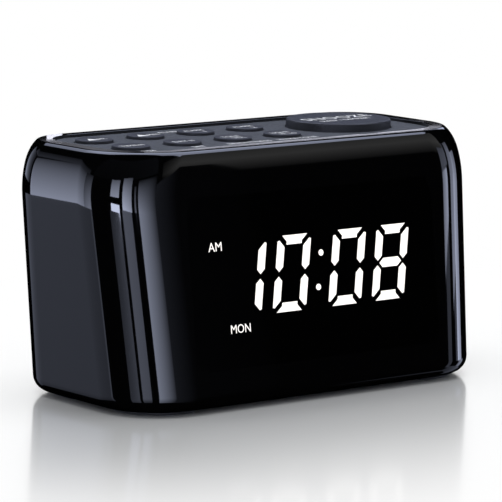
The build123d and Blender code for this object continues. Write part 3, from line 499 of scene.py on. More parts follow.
class Housing:
    """The moulded housing: outer skin, rim, recess and deck, inner skin, openings and pockets."""

    def __init__(self, shape):
        self.shape = shape
        self.form = Form(shape)
        self.skin = Skin()
        self.deck_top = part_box("top_panel")[0].z
        self.deck_bottom = self.deck_top - shape.deck
        self.floor_top = self.form.base + shape.wall
        self.faces = {face: FacePlane(self.form, face) for face in (FRONT, BACK)}
        corner = shape.corner_steps + 1
        self.flats = {FRONT: corner - 1, BACK: 3 * corner - 1}

    def build(self):
        outer = self.outer_skin()
        deck_edge = self.rim_and_recess(outer[-1])
        inner = self.inner_skin()
        for face in (FRONT, BACK):
            self.opening(face, outer, inner)
        self.deck(deck_edge, inner[-1])
        self.underside(outer[0], inner[0])
        self.posts()
        return self.skin.finish("housing")

    def shoulder_level(self, top, part):
        """Height part of the way from the flat faces up to where the rim's round starts."""
        risen = math.sin(SHOULDER_ARC * part) / math.sin(SHOULDER_ARC)
        return self.form.planar + (top - self.form.planar) * risen

    def side_levels(self, low, high, steps):
        """Heights that follow the sides' ellipse from where it starts to where the faces turn in."""
        rise = self.shape.side_shoulder_rise
        turn = math.asin((high - low) / rise)
        return [low + rise * math.sin(turn * step / steps) for step in range(steps + 1)]

    def level(self, height_of):
        """Outer loop at a height that may differ from station to station."""
        form = self.form
        heights = [height_of(station) for station in form.stations]
        return self.skin.loop([form.point(s, h) for s, h in zip(form.stations, heights)],
                              [form.normal(s, h) for s, h in zip(form.stations, heights)])

    def rounded(self, balls, radius, start, end, steps, side=1):
        """Loops that roll a ball's surface from one direction to another."""
        loops = []
        for step in range(steps + 1):
            facings = [start(ball).slerp(end(ball), step / steps) for ball in balls]
            points = [ball[0] + facing * radius for ball, facing in zip(balls, facings)]
            loops.append(self.skin.loop(points, [facing * side for facing in facings]))
        return loops

    def outer_skin(self):
        """Loops from the underside's edge up to the rim, and the bands between them."""
        form, shape = self.form, self.shape
        base_balls = [form.base_ball(s) for s in form.stations]
        loops = self.rounded(base_balls, shape.bottom_round, lambda ball: -UP, lambda ball: ball[1],
                             shape.round_steps)
        first_flat = len(loops) - 1
        for height in self.side_levels(form.straight, form.planar, SIDE_TURNS):
            loops.append(self.level(lambda station, height=height: height))
        last_flat = len(loops) - 1
        rim_balls = [form.rim_ball(s) for s in form.stations]
        touches = {id(s): ball[2] for s, ball in zip(form.stations, rim_balls)}
        for step in range(1, SHOULDER_TURNS):
            loops.append(self.level(
                lambda station, part=step / SHOULDER_TURNS: self.shoulder_level(touches[id(station)], part)))
        loops += self.rounded(rim_balls, shape.rim_round, lambda ball: ball[1], lambda ball: UP,
                              shape.round_steps)
        self.join(loops, first_flat, last_flat)
        self.outer_flat = (first_flat, last_flat)
        return loops

    def join(self, loops, first_flat, last_flat):
        """Bands between loops, leaving the flat front and back open for their windows."""
        for n, (low, high) in enumerate(zip(loops, loops[1:])):
            flat = first_flat <= n < last_flat
            self.skin.band(low, high, curved=True, gaps=self.flats.values() if flat else ())

    def rim_and_recess(self, rim):
        """Flat rim, its rounded inner edge and the wall of the recess; returns the deck's edge."""
        form, shape = self.form, self.shape
        top = form.base + form.height
        flat_inset = shape.lip_width - shape.lip_round
        flat = self.skin.loop([form.flat_point(s, flat_inset, top) for s in form.stations],
                              [UP for _ in form.stations])
        self.skin.band(rim, flat)
        last = flat
        for step in range(1, shape.round_steps + 1):
            turn = math.radians(90 * step / shape.round_steps)
            inset = shape.lip_width - shape.lip_round * (1 - math.sin(turn))
            z = top - shape.lip_round * (1 - math.cos(turn))
            directions = [UP * math.cos(turn) - form.out(s) * math.sin(turn) for s in form.stations]
            following = self.skin.loop([form.flat_point(s, inset, z) for s in form.stations], directions)
            self.skin.band(last, following, curved=True)
            last = following
        edge = self.skin.loop([form.flat_point(s, shape.lip_width, self.deck_top) for s in form.stations],
                              [-form.out(s) for s in form.stations])
        self.skin.band(last, edge, curved=True)
        return edge

    def inner_skin(self):
        """Loops of the cavity from the floor up to under the deck."""
        form, shape = self.form, self.shape
        balls = [form.base_ball(s) for s in form.stations]
        loops = self.rounded(balls, shape.bottom_round - shape.wall, lambda ball: -UP, lambda ball: ball[1],
                             shape.round_steps, side=-1)
        first_flat = len(loops) - 1
        heights = self.side_levels(form.straight - shape.wall, form.planar - shape.wall, SIDE_TURNS)
        last_flat = first_flat + len(heights)
        top = self.deck_bottom - form.base
        heights += [heights[-1] + (top - heights[-1]) * step / INNER_TURNS
                    for step in range(1, INNER_TURNS + 1)]
        for height in heights:
            outside = min(height + shape.wall, form.height - shape.rim_round)
            loops.append(self.skin.loop([form.inner_point(s, height) for s in form.stations],
                                        [-form.normal(s, outside) for s in form.stations]))
        self.join(loops, first_flat, last_flat)
        self.inner_flat = (first_flat, last_flat)
        return loops

    def frame_of(self, loops, flat, face):
        """The corners round a flat face, from loops on both sides of it."""
        first, last = flat
        near = self.flats[face]
        far = (near + 1) % len(loops[0])
        going_up = [loop[far] for loop in loops[first:last + 1]]
        coming_down = [loop[near] for loop in reversed(loops[first:last + 1])]
        return going_up + coming_down

    def opening(self, face, outer, inner):
        """The flat of the front or the back with its window, through the wall."""
        shape = self.shape
        steps = shape.round_steps
        if face == FRONT:
            gap, middle = shape.panel_gap, shape.window_centre
            width, height, corner = shape.window_width, shape.window_height, shape.window_corner
        else:
            gap, middle = shape.cover_gap, (shape.cover_top + shape.cover_bottom) / 2
            width, height = shape.cover_width, shape.cover_top - shape.cover_bottom
            corner = shape.cover_corner
        plane = self.faces[face]
        outline = rounded_box(width + 2 * gap, height + 2 * gap, [corner + gap] * 4, steps, 0, middle)
        outside = self.skin.loop([plane.at(x, rise) for x, rise in outline])
        inside = self.skin.loop([plane.at(x, rise, shape.wall) for x, rise in outline])
        self.skin.band(outside, inside)
        self.skin.lid(self.frame_of(outer, self.outer_flat, face), [outside], plane.normal)
        self.skin.lid(self.frame_of(inner, self.inner_flat, face), [inside], plane.normal)

    def deck(self, deck_edge, ceiling):
        """Deck under the top panel, with the holes that keys and snooze button move in."""
        over, under = [], []
        for x, y, radius in button_holes(self.shape):
            ring = circle(radius, self.shape.circle_steps, x, y)
            over.append(self.skin.loop(at_height(ring, self.deck_top)))
            under.append(self.skin.loop(at_height(ring, self.deck_bottom)))
            self.skin.band(over[-1], under[-1])
        self.skin.lid(deck_edge, over)
        self.skin.lid(ceiling, under)

    def pad_pockets(self):
        """Shallow pockets for the four pads; returns their loops in the underside."""
        form, shape = self.form, self.shape
        edge = shape.bottom_round + shape.pad_inset
        half = shape.pad_size / 2
        loops = []
        for side, face in ((LEFT, FRONT), (RIGHT, FRONT), (LEFT, BACK), (RIGHT, BACK)):
            x = side * (shape.base_width / 2 - edge - half)
            y = (form.front_base if face == FRONT else form.back_base) - face * (edge + half)
            radii = [form.radius(face) - edge if (across, along) == (side, face) else shape.pad_corner
                     for across, along in ((1, 1), (-1, 1), (-1, -1), (1, -1))]
            outline = rounded_box(shape.pad_size, shape.pad_size, radii, shape.round_steps, x, y)
            mouth = self.skin.loop(at_height(outline, form.base))
            end = self.skin.loop(at_height(outline, form.base + shape.pad_pocket))
            self.skin.band(mouth, end)
            self.skin.lid(end)
            loops.append(mouth)
        return loops

    def cap_outline(self, x, y):
        """Hole for the coin-slot cap, with the two notches that its lugs drop through."""
        shape = self.shape
        near = shape.cap_diameter / 2 + shape.cap_gap
        points = []
        steps = shape.circle_steps
        for step in range(steps):
            turn = 2 * math.pi * step / steps
            across = (turn - shape.lug_turn + math.pi / 2) % math.pi - math.pi / 2
            reach = near + shape.lug_reach if abs(across) < shape.lug_span / 2 else near
            points.append((x + reach * math.cos(turn), y + reach * math.sin(turn)))
        return points

    def underside(self, outer_edge, inner_edge):
        """Underside with pad pockets and the cell's well, and the floor inside."""
        form, shape, skin = self.form, self.shape, self.skin
        x, y = middle_of("battery_cap")
        well = shape.cap_diameter / 2 + shape.lug_reach + 2 * shape.cap_gap
        roof = form.base + shape.well_height
        outline = self.cap_outline(x, y)
        mouth = skin.loop(at_height(outline, form.base))
        throat = skin.loop(at_height(outline, self.floor_top))
        room = [skin.loop(at_height(circle(well, shape.circle_steps, x, y), z))
                for z in (self.floor_top, roof - shape.well_roof)]
        tower = [skin.loop(at_height(circle(well + shape.well_wall, shape.circle_steps, x, y), z))
                 for z in (self.floor_top, roof)]
        skin.band(mouth, throat)
        skin.lid(room[0], [throat])
        skin.band(room[0], room[1])
        skin.lid(room[1])
        skin.band(tower[0], tower[1])
        skin.lid(tower[1])
        skin.lid(outer_edge, [mouth, *self.pad_pockets()])
        skin.lid(inner_edge, [tower[0]])

    def posts(self):
        """Screw posts under the deck and behind the display window."""
        board_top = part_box("key_board")[1].z
        for x, y in screw_places("key_board_screws"):
            self.post(Vector((x, y, self.deck_bottom + POST_ROOT)), Vector((x, y, board_top)), -UP)
        plane = self.faces[FRONT]
        for across in (-DISPLAY_POST_ACROSS, DISPLAY_POST_ACROSS):
            for rise in (-DISPLAY_POST_RISE, DISPLAY_POST_RISE):
                start = plane.at(across, self.shape.window_centre + rise, self.shape.wall - POST_ROOT)
                end = start - plane.normal * (POST_ROOT + DISPLAY_POST_LENGTH)
                self.post(start, end, -plane.normal)

    def post(self, low, high, axis):
        self.skin.tube(low, high, POST_RADIUS, POST_HOLE, POST_BITE, axis)


def screw_places(node):
    """Plan positions of the separate screws in a CAD node, from the clusters of their corners."""
    places = []
    for corner in frame["nodes"][node].data.vertices:
        x, y = corner.co.x, corner.co.y
        for place in places:
            if math.hypot(place[0] - x, place[1] - y) < SCREW_REACH:
                place[2].append((x, y))
                break
        else:
            places.append((x, y, [(x, y)]))
    middles = []
    for _, _, members in places:
        across = [x for x, _ in members]
        along = [y for _, y in members]
        middles.append(((min(across) + max(across)) / 2, (min(along) + max(along)) / 2))
    return middles


# ---- top panel, keys and snooze button -----------------------------------------------------------
PANEL_CHAMFER = 0.12 * MM


def build_top_panel(shape):
    """Matte panel in the recess, with a small chamfer round its edge and each hole."""
    form = Form(shape)
    skin = Skin()
    low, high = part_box("top_panel")
    bevel = PANEL_CHAMFER
    inset = shape.lip_width + shape.panel_gap
    levels = ((0, low.z), (0, high.z - bevel), (bevel, high.z))
    edge = [skin.loop([form.flat_point(s, inset + inward, z) for s in form.stations]) for inward, z in levels]
    skin.band(edge[0], edge[1])
    skin.band(edge[1], edge[2])
    under, over = [], []
    for x, y, radius in button_holes(shape):
        rings = [skin.loop(at_height(circle(radius + outward, shape.circle_steps, x, y), z))
                 for outward, z in levels]
        skin.band(rings[0], rings[1])
        skin.band(rings[1], rings[2])
        under.append(rings[0])
        over.append(rings[2])
    skin.lid(edge[0], under)
    skin.lid(edge[2], over)
    return skin.finish("panel", crease=20)


def rounded_top(radius, top, edge, steps):
    """Profile of a button's side and top, from its wall to its middle."""
    profile = []
    for step in range(steps + 1):
        turn = math.radians(90 * step / steps)
        profile.append((radius - edge * (1 - math.cos(turn)), top - edge * (1 - math.sin(turn))))
    return profile + [(radius / 2, top), (0, top)]


def build_key(name, node, shape):
    """Round key: flange under the deck, straight wall, rounded edge and flat top."""
    low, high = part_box(node)
    x, y = middle_of(node)
    radius = shape.key_diameter / 2
    flange = (high.x - low.x) / 2
    profile = [(0, low.z), (flange, low.z), (flange, low.z + shape.flange), (radius, low.z + shape.flange)]
    profile += rounded_top(radius, high.z, shape.key_edge, shape.round_steps)
    return turned(name, profile, x, y, shape.circle_steps)


def build_snooze_button(shape):
    """Large puck: a cup with a middle post, its flange under the deck, and a flat top."""
    low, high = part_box(SNOOZE)
    x, y = middle_of(SNOOZE)
    radius = shape.snooze_diameter / 2
    flange = (high.x - low.x) / 2
    roof = high.z - shape.snooze_roof
    bore = radius - shape.snooze_wall
    post = shape.snooze_post / 2
    top = high.z - SNOOZE_LEGEND_ROOM
    profile = [(0, low.z), (post, low.z), (post, roof), (bore, roof), (bore, low.z), (flange, low.z),
               (flange, low.z + shape.flange), (radius, low.z + shape.flange)]
    profile += rounded_top(radius, top, shape.snooze_edge, shape.round_steps)
    return turned("snooze_puck", profile, x, y, shape.circle_steps * 2)


# ---- legends -------------------------------------------------------------------------------------
INK = 0.015 * MM
INK_ROOT = 0.01 * MM
SNOOZE_LEGEND_ROOM = 0.03 * MM
WELD = 0.0005
ACROSS, ALONG = Vector((1, 0, 0)), Vector((0, 1, 0))

# in millimetres: each word has its middle, width and height, and each bar or line its ends
LIT_WORDS = (("AM", -39.3, 50.9, 5.2, 2.8), ("MON", -31.4, 24.7, 7.7, 2.7))
KEY_LINE = -0.8
STROKE = 0.4 * MM
ARROW = ((-2.2, -1.9), (2.2, -1.9), (0.0, 2.2))
KEY_WORDS = {
    "key_rear_1": (("HR", 2.3, KEY_LINE, 2.8, 2.7),),
    "key_rear_2": (("MIN", 2.4, KEY_LINE, 4.0, 2.7),),
    "key_rear_3": (("ALARM", -0.6, 0.6, 7.6, 2.5), ("1", 1.2, -3.2, 0.45, 2.6)),
    "key_rear_4": (("ALARM", -0.6, 0.6, 7.6, 2.5), ("2", 1.2, -3.2, 1.7, 2.6)),
    "key_front_1": (("TIME", -1.3, -0.7, 6.4, 2.5),),
    "key_front_2": (("DAY", -1.3, -0.7, 5.4, 2.5),),
    "key_front_3": (("TONE", -0.5, 0.6, 6.8, 2.4), ("VOL", 0.3, -3.0, 4.8, 2.3)),
    "key_front_4": (("LIGHT", -0.5, 0.6, 7.6, 2.4), ("HI  LO", 0.1, -3.0, 6.4, 2.3)),
}
KEY_ARROWS = {"key_rear_1": -1.7, "key_rear_2": -2.3}
KEY_BARS = {"key_front_1": (2.9, 4.0), "key_front_2": (2.5, 3.6)}
KEY_BAR_ENDS = (-1.8, 0.4)
PANEL_WORDS = (("12/24", -51.5, -11.8, 5.6, 2.6), ("SET", -31.5, -11.8, 5.0, 2.6),
               ("BRIGHTNESS", -11.5, -11.8, 17.0, 2.4), ("WAKE TONE", 7.8, -11.8, 16.0, 2.4),
               ("ALARM", -16.5, 25.0, 9.0, 2.4))
SNOOZE_WORDS = (("SNOOZE", 0.0, 1.4, 27.0, 5.0), ("SLEEP / DIMMER", -1.1, -4.8, 20.0, 2.6))
REAR_WORDS = (("RESET", 36.0, 14.8, 8.4, 1.9),)
REAR_STROKES = (((17.4, 25.3), (22.6, 25.3)), ((17.4, 24.4), (18.7, 24.4)), ((19.35, 24.4), (20.65, 24.4)),
                ((21.3, 24.4), (22.6, 24.4)))


class Print:
    """Thin raised ink on a plane: words and signs, closed solids joined into one piece."""

    def __init__(self, name, origin, across, up):
        self.name = name
        self.bm = bmesh.new()
        normal = across.cross(up)
        self.place = Matrix.Translation(origin) @ Matrix((across, up, normal)).transposed().to_4x4()

    def prism(self, outline):
        """A flat sign from an outline."""
        part = bmesh.new()
        low = [part.verts.new((x, y, -INK_ROOT)) for x, y in outline]
        high = [part.verts.new((x, y, INK)) for x, y in outline]
        count = len(outline)
        for n in range(count):
            part.faces.new((low[n], low[(n + 1) % count], high[(n + 1) % count], high[n]))
        for ring in (low, high):
            edges = [part.edges.get((corner, ring[(n + 1) % count])) for n, corner in enumerate(ring)]
            bmesh.ops.triangle_fill(part, use_beauty=True, use_dissolve=False, edges=edges, normal=UP)
        self.add(part)

    def stroke(self, points, width):
        """A line of even width through points, with square ends."""
        left, right = [], []
        for n, (x, y) in enumerate(points):
            before = Vector(points[max(n - 1, 0)])
            after = Vector(points[min(n + 1, len(points) - 1)])
            run = (after - before).normalized()
            left.append((x - run.y * width / 2, y + run.x * width / 2))
            right.append((x + run.y * width / 2, y - run.x * width / 2))
        self.prism(left + right[::-1])

    def word(self, text, x, y, span, tall):
        """A word that fills a box of a width and a height round its middle."""
        curve = bpy.data.curves.new(self.name, "FONT")
        curve.body = text
        curve.resolution_u = 3
        helper = add_object(self.name, curve)
        bpy.context.view_layer.update()
        flat = bpy.data.meshes.new_from_object(helper.evaluated_get(bpy.context.evaluated_depsgraph_get()))
        bpy.data.objects.remove(helper)
        bpy.data.curves.remove(curve)
        part = bmesh.new()
        part.from_mesh(flat)
        bpy.data.meshes.remove(flat)
        bmesh.ops.remove_doubles(part, verts=part.verts[:], dist=WELD)
        across = [corner.co.x for corner in part.verts]
        along = [corner.co.y for corner in part.verts]
        wide, high = max(across) - min(across), max(along) - min(along)
        for corner in part.verts:
            share_across = (corner.co.x - min(across)) / wide - 0.5
            share_along = (corner.co.y - min(along)) / high - 0.5
            corner.co = Vector((x + share_across * span, y + share_along * tall, -INK_ROOT))
        grown = bmesh.ops.extrude_face_region(part, geom=part.faces[:])
        for corner in grown["geom"]:
            if isinstance(corner, bmesh.types.BMVert):
                corner.co.z = INK
        self.add(part)

    def words(self, rows):
        """Words with their middle, width and height in millimetres."""
        for text, x, y, span, tall in rows:
            self.word(text, x * MM, y * MM, span * MM, tall * MM)

    def add(self, part):
        """Join a closed part to the piece, in its place."""
        bmesh.ops.recalc_face_normals(part, faces=part.faces[:])
        part.transform(self.place)
        joined = bpy.data.meshes.new(self.name)
        part.to_mesh(joined)
        part.free()
        self.bm.from_mesh(joined)
        bpy.data.meshes.remove(joined)

    def finish(self, body, material, slot=None):
        """Turn the print into a piece on a body; its slot argument is not used."""
        mesh = bpy.data.meshes.new(self.name)
        self.bm.to_mesh(mesh)
        self.bm.free()
        mesh.materials.append(material)
        piece = add_object(self.name, mesh)
        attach(piece, body)


def flat_print(name, x, y, z):
    """Print on a level surface, read from the front."""
    return Print(name, Vector((x, y, z)), ACROSS, ALONG)


# ---- finishes ------------------------------------------------------------------------------------
# a colour mix's sockets: the two colours that go in, and the one that comes out
MIX_START, MIX_END, MIX_COLOUR = 6, 7, 2


class Finish:
    """A node material under construction."""

    def __init__(self, name, base, roughness, **sockets):
        self.material = bpy.data.materials.new(name)
        self.material.use_nodes = True
        self.tree = self.material.node_tree
        self.shader = self.tree.nodes["Principled BSDF"]
        self.base = base
        self.shader.inputs["Base Color"].default_value = (*base, 1)
        self.shader.inputs["Roughness"].default_value = roughness
        for socket, value in sockets.items():
            self.shader.inputs[socket.replace("_", " ").title().replace("Ior", "IOR")].default_value = value
        self.coordinates = self.tree.nodes.new("ShaderNodeTexCoord").outputs["Object"]

    def node(self, kind, **settings):
        node = self.tree.nodes.new(kind)
        for name, value in settings.items():
            setattr(node, name, value)
        return node

    def link(self, source, target):
        self.tree.links.new(source, target)

    def cloud(self, grain, detail=2.0, stretch=None):
        """Noise whose grain is a size on the object; stretch lengthens it along an axis."""
        noise = self.node("ShaderNodeTexNoise")
        noise.inputs["Scale"].default_value = 1 / grain
        noise.inputs["Detail"].default_value = detail
        if stretch:
            mapping = self.node("ShaderNodeMapping")
            mapping.inputs["Scale"].default_value = [1 / part for part in stretch]
            self.link(self.coordinates, mapping.inputs["Vector"])
            self.link(mapping.outputs["Vector"], noise.inputs["Vector"])
        else:
            self.link(self.coordinates, noise.inputs["Vector"])
        return noise.outputs["Fac"]

    def pits(self, grain):
        """Distance to the middle of the nearest cell of a spark-eroded texture."""
        cells = self.node("ShaderNodeTexVoronoi")
        cells.inputs["Scale"].default_value = 1 / grain
        self.link(self.coordinates, cells.inputs["Vector"])
        return cells.outputs["Distance"]

    def spread(self, value, low, high, start=0.3, end=0.7):
        """Map a texture's value from its usual range to another."""
        node = self.node("ShaderNodeMapRange")
        for socket, number in zip(("From Min", "From Max", "To Min", "To Max"), (start, end, low, high)):
            node.inputs[socket].default_value = number
        self.link(value, node.inputs["Value"])
        return node.outputs["Result"]

    def mix(self, value, start, end):
        """A colour between two, by a texture's value."""
        blend = self.node("ShaderNodeMix", data_type="RGBA")
        blend.inputs[MIX_START].default_value = (*start, 1)
        blend.inputs[MIX_END].default_value = (*end, 1)
        self.link(self.spread(value, 0, 1), blend.inputs["Factor"])
        return blend.outputs[MIX_COLOUR]

    def roughness(self, value, low, high):
        self.link(self.spread(value, low, high), self.shader.inputs["Roughness"])

    def tint(self, value, darker, lighter):
        """Vary the base colour between two shares of itself."""
        mixed = self.mix(value, [c * darker for c in self.base], [min(c * lighter, 1) for c in self.base])
        self.link(mixed, self.shader.inputs["Base Color"])

    def relief(self, value, depth, strength=1.0):
        """Fine relief of a depth, on top of the piece's shape."""
        bump = self.node("ShaderNodeBump")
        bump.inputs["Distance"].default_value = depth
        bump.inputs["Strength"].default_value = strength
        self.link(value, bump.inputs["Height"])
        self.link(bump.outputs["Normal"], self.shader.inputs["Normal"])


def polished(name, base, low=0.03, high=0.05, ripple=0.0004 * MM):
    """High gloss moulding: faint unevenness of polish and a very slight ripple."""
    finish = Finish(name, base, low, ior=1.5)
    finish.roughness(finish.cloud(9 * MM), low, high)
    finish.relief(finish.cloud(14 * MM, 1.0), ripple)
    return finish


def sparked(name, base, low, high, grain=0.35 * MM, depth=0.006 * MM, ior=1.48):
    """Matte moulding with a fine spark texture."""
    finish = Finish(name, base, low, ior=ior)
    finish.tint(finish.cloud(grain * 1.5, 3.0), 0.9, 1.1)
    finish.roughness(finish.cloud(grain * 4), low, high)
    finish.relief(finish.pits(grain), depth)
    return finish


def plated(name, base, grain=0.12 * MM):
    """Plated steel with fine drawn lines."""
    finish = Finish(name, base, 0.3, metallic=1.0)
    lines = finish.cloud(grain, 2.0, (8, 1, 1))
    finish.tint(lines, 0.85, 1.1)
    finish.roughness(lines, 0.24, 0.36)
    finish.relief(lines, 0.002 * MM)
    return finish


def fibrous(name, base, grain=0.25 * MM, depth=0.05 * MM, rough=0.9):
    """Felt, foam, paper or rubber: rough, with a soft uneven surface."""
    finish = Finish(name, base, rough, ior=1.45)
    fibres = finish.cloud(grain, 5.0)
    finish.tint(fibres, 0.75, 1.25)
    finish.roughness(fibres, rough - 0.08, min(rough + 0.06, 1.0))
    finish.relief(fibres, depth)
    return finish


def lit(name, light):
    """Lit window: light that is a shade uneven across each figure."""
    finish = Finish(name, (0.6, 0.58, 0.55), 0.2)
    uneven = finish.mix(finish.cloud(6 * MM, 1.0), [c * 0.97 for c in light], light)
    finish.link(uneven, finish.shader.inputs["Emission Color"])
    finish.shader.inputs["Emission Strength"].default_value = 1.0
    return finish


def printed(name, base):
    """Screen-printed ink, a shade uneven."""
    finish = Finish(name, base, 0.5)
    finish.tint(finish.cloud(0.4 * MM, 3.0), 0.92, 1.06)
    return finish


def solder_mask(name, base):
    """Circuit board: green mask with fine copper tracks showing through."""
    finish = Finish(name, base, 0.35, coat_weight=0.3)
    tracks = finish.node("ShaderNodeTexBrick")
    tracks.inputs["Scale"].default_value = 1 / (9 * MM)
    tracks.inputs["Color1"].default_value = (*base, 1)
    tracks.inputs["Color2"].default_value = (*[c * 1.25 for c in base], 1)
    tracks.inputs["Mortar"].default_value = (*[c * 1.9 for c in base], 1)
    tracks.inputs["Mortar Size"].default_value = 0.03
    finish.link(finish.coordinates, tracks.inputs["Vector"])
    finish.link(tracks.outputs["Color"], finish.shader.inputs["Base Color"])
    finish.relief(tracks.outputs["Fac"], 0.02 * MM)
    finish.roughness(finish.cloud(3 * MM), 0.3, 0.42)
    return finish


def finishes(colours):
    """The material of each slot in the clock's record, and of the legends."""
    return {
        "housing_gloss": polished("gloss_black_housing", colours.housing),
        "lens_smoke": polished("smoked_display_window", (0.0006, 0.0006, 0.0007), 0.025, 0.04, 0.0002 * MM),
        "segment_glow": lit("lit_figure", colours.light),
        "panel_matte": sparked("charcoal_panel", colours.panel, 0.42, 0.52),
        "key_matte": sparked("charcoal_key", colours.key, 0.42, 0.52, 0.3 * MM, ior=1.33),
        "cover_matte": sparked("black_cover", colours.cover, 0.5, 0.6, 0.5 * MM, 0.012 * MM),
        "inner_black": sparked("inner_black_moulding", (0.02, 0.02, 0.02), 0.5, 0.6, 0.6 * MM),
        "plunger_plastic": sparked("natural_plunger", (0.6, 0.58, 0.52), 0.35, 0.45, 0.4 * MM, 0.003 * MM),
        "diffuser_film": fibrous("milky_diffuser", (0.85, 0.85, 0.84), 0.3 * MM, 0.002 * MM, 0.5),
        "led_chip": polished("light_chip", (0.9, 0.85, 0.55), 0.15, 0.25),
        "circuit_board": solder_mask("green_board", (0.02, 0.13, 0.05)),
        "component_plastic": sparked("black_component", (0.03, 0.03, 0.03), 0.4, 0.5),
        "screw_steel": plated("black_zinc_screw", (0.28, 0.28, 0.29)),
        "socket_steel": plated("nickel_socket", (0.62, 0.62, 0.64)),
        "speaker_paper": fibrous("cone_paper", (0.05, 0.05, 0.05), 0.4 * MM, 0.04 * MM, 0.85),
        "speaker_felt": fibrous("dust_cloth", (0.02, 0.02, 0.02), 0.3 * MM, 0.08 * MM, 0.95),
        "foam_black": fibrous("gasket_foam", (0.03, 0.03, 0.03), 0.5 * MM, 0.1 * MM, 0.92),
        "magnet_ferrite": fibrous("ground_ferrite", (0.12, 0.12, 0.12), 0.2 * MM, 0.01 * MM, 0.55),
        "ribbon_white": fibrous("white_ribbon", (0.8, 0.8, 0.78), 0.8 * MM, 0.003 * MM, 0.4),
        "lead_sleeve": fibrous("red_sleeve", (0.35, 0.03, 0.03), 0.4 * MM, 0.004 * MM, 0.45),
        "pad_rubber": fibrous("pad_rubber", colours.rubber, 0.25 * MM, 0.01 * MM, 0.75),
        "legend_ink": printed("legend_ink", colours.legend),
    }


_made = {}


def finish_for(slot):
    """The finish of a slot, made once."""
    if not _made:
        _made.update({name: made.material for name, made in finishes(bpy.context.scene.clock_finish).items()})
    return _made[slot]


# ---- studio --------------------------------------------------------------------------------------
SENSOR_WIDTH = 36
SKY_COLOUR = (0.94, 0.97, 1.0)
FLOOR_PAINT = (0.9, 0.9, 0.9)
FLOOR_IOR = 1.5
FLOOR_HALF = 6.0
TENT_RADIUS = 0.9 * FLOOR_HALF
TENT_GLOW = 1.15
SOFTBOX_HEIGHT = 1.25
SOFTBOX_WIDTH = 1.0
SOFTBOX_DEPTH = 0.85
CARD_DISTANCE = 2.0
CARD_STEPS = 12
OVERHEAD_HEIGHT = 1.0
OVERHEAD_BRIGHTNESS = 4.0
RIM_STRIP_BEHIND = 200
SKY_TINT = (0.85, 0.93, 1.22)
PLAIN_TINT = (1.0, 1.0, 1.0)
PALE_TINT = (0.96, 0.97, 1.12)


def sheet(name, corners, faces, material):
    """A thin sheet with its material, put in the scene."""
    mesh = bpy.data.meshes.new(name)
    mesh.from_pydata(corners, [], faces)
    mesh.materials.append(material)
    thing = add_object(name, mesh)
    return thing


def flat_sheet(name, corners, material):
    """A flat sheet inside an outline."""
    return sheet(name, corners, [tuple(range(len(corners)))], material)


def glow(name, brightness, tint=PLAIN_TINT, fade=None, rising="Z"):
    """Light-giving sheet; fade gives the brightness at its left, right, bottom and top edges as shares."""
    material = bpy.data.materials.new(name)
    material.use_nodes = True
    tree = material.node_tree
    tree.nodes.remove(tree.nodes["Principled BSDF"])
    light = tree.nodes.new("ShaderNodeEmission")
    light.inputs["Color"].default_value = (*tint, 1)
    light.inputs["Strength"].default_value = brightness
    tree.links.new(light.outputs["Emission"], tree.nodes["Material Output"].inputs["Surface"])
    if fade:
        left, right, low, high = fade
        place = tree.nodes.new("ShaderNodeTexCoord")
        split = tree.nodes.new("ShaderNodeSeparateXYZ")
        tree.links.new(place.outputs["Generated"], split.inputs["Vector"])
        across = ranged(tree, split.outputs["X"], left * brightness, right * brightness)
        along = ranged(tree, split.outputs[rising], low, high)
        tree.links.new(combined(tree, "MULTIPLY", across, along), light.inputs["Strength"])
    material.cycles.emission_sampling = "NONE"
    return material


def ranged(tree, value, low, high):
    node = tree.nodes.new("ShaderNodeMapRange")
    node.inputs["To Min"].default_value = low
    node.inputs["To Max"].default_value = high
    tree.links.new(value, node.inputs["Value"])
    return node.outputs["Result"]


def combined(tree, operation, first, second):
    """Two values through one maths node."""
    node = tree.nodes.new("ShaderNodeMath")
    node.operation = operation
    tree.links.new(first, node.inputs[0])
    tree.links.new(second, node.inputs[1])
    return node.outputs[0]


def blended(tree, share_of_second, first, second):
    """Two shaders blended by a share."""
    blend = tree.nodes.new("ShaderNodeMixShader")
    for source, socket in zip((share_of_second, first.outputs[0], second.outputs[0]), blend.inputs):
        tree.links.new(source, socket)
    return blend.outputs[0]


def seen_in_gloss_only(thing):
    """Reflected by glossy surfaces, and otherwise not there."""
    thing.visible_camera = False
    thing.visible_diffuse = False
    thing.visible_transmission = False
    thing.visible_volume_scatter = False
    thing.visible_shadow = False


def receivers(name, thing, state):
    """Light-linking group that includes or leaves out one thing."""
    group = bpy.data.collections.new(name)
    group.objects.link(thing)
    group.collection_objects[0].light_linking.link_state = state
    return group


def heading(left_degrees, up_degrees):
    """Direction at an angle to the left of straight ahead and an angle above the horizon."""
    left, up = math.radians(left_degrees), math.radians(up_degrees)
    return Vector((-math.sin(left) * math.cos(up), -math.cos(left) * math.cos(up), math.sin(up)))


def card(name, left, right, low, high, brightness, fade=None, tint=SKY_TINT):
    """Curved reflector card between two headings and two heights, in degrees round the clock."""
    corners = []
    for step in range(CARD_STEPS + 1):
        turn = left + (right - left) * step / CARD_STEPS
        for up in (low, high):
            corners.append(heading(turn, up) * CARD_DISTANCE)
    faces = [(2 * n, 2 * n + 2, 2 * n + 3, 2 * n + 1) for n in range(CARD_STEPS)]
    thing = sheet(name, corners, faces, glow(name, brightness, tint, fade))
    seen_in_gloss_only(thing)
    return thing


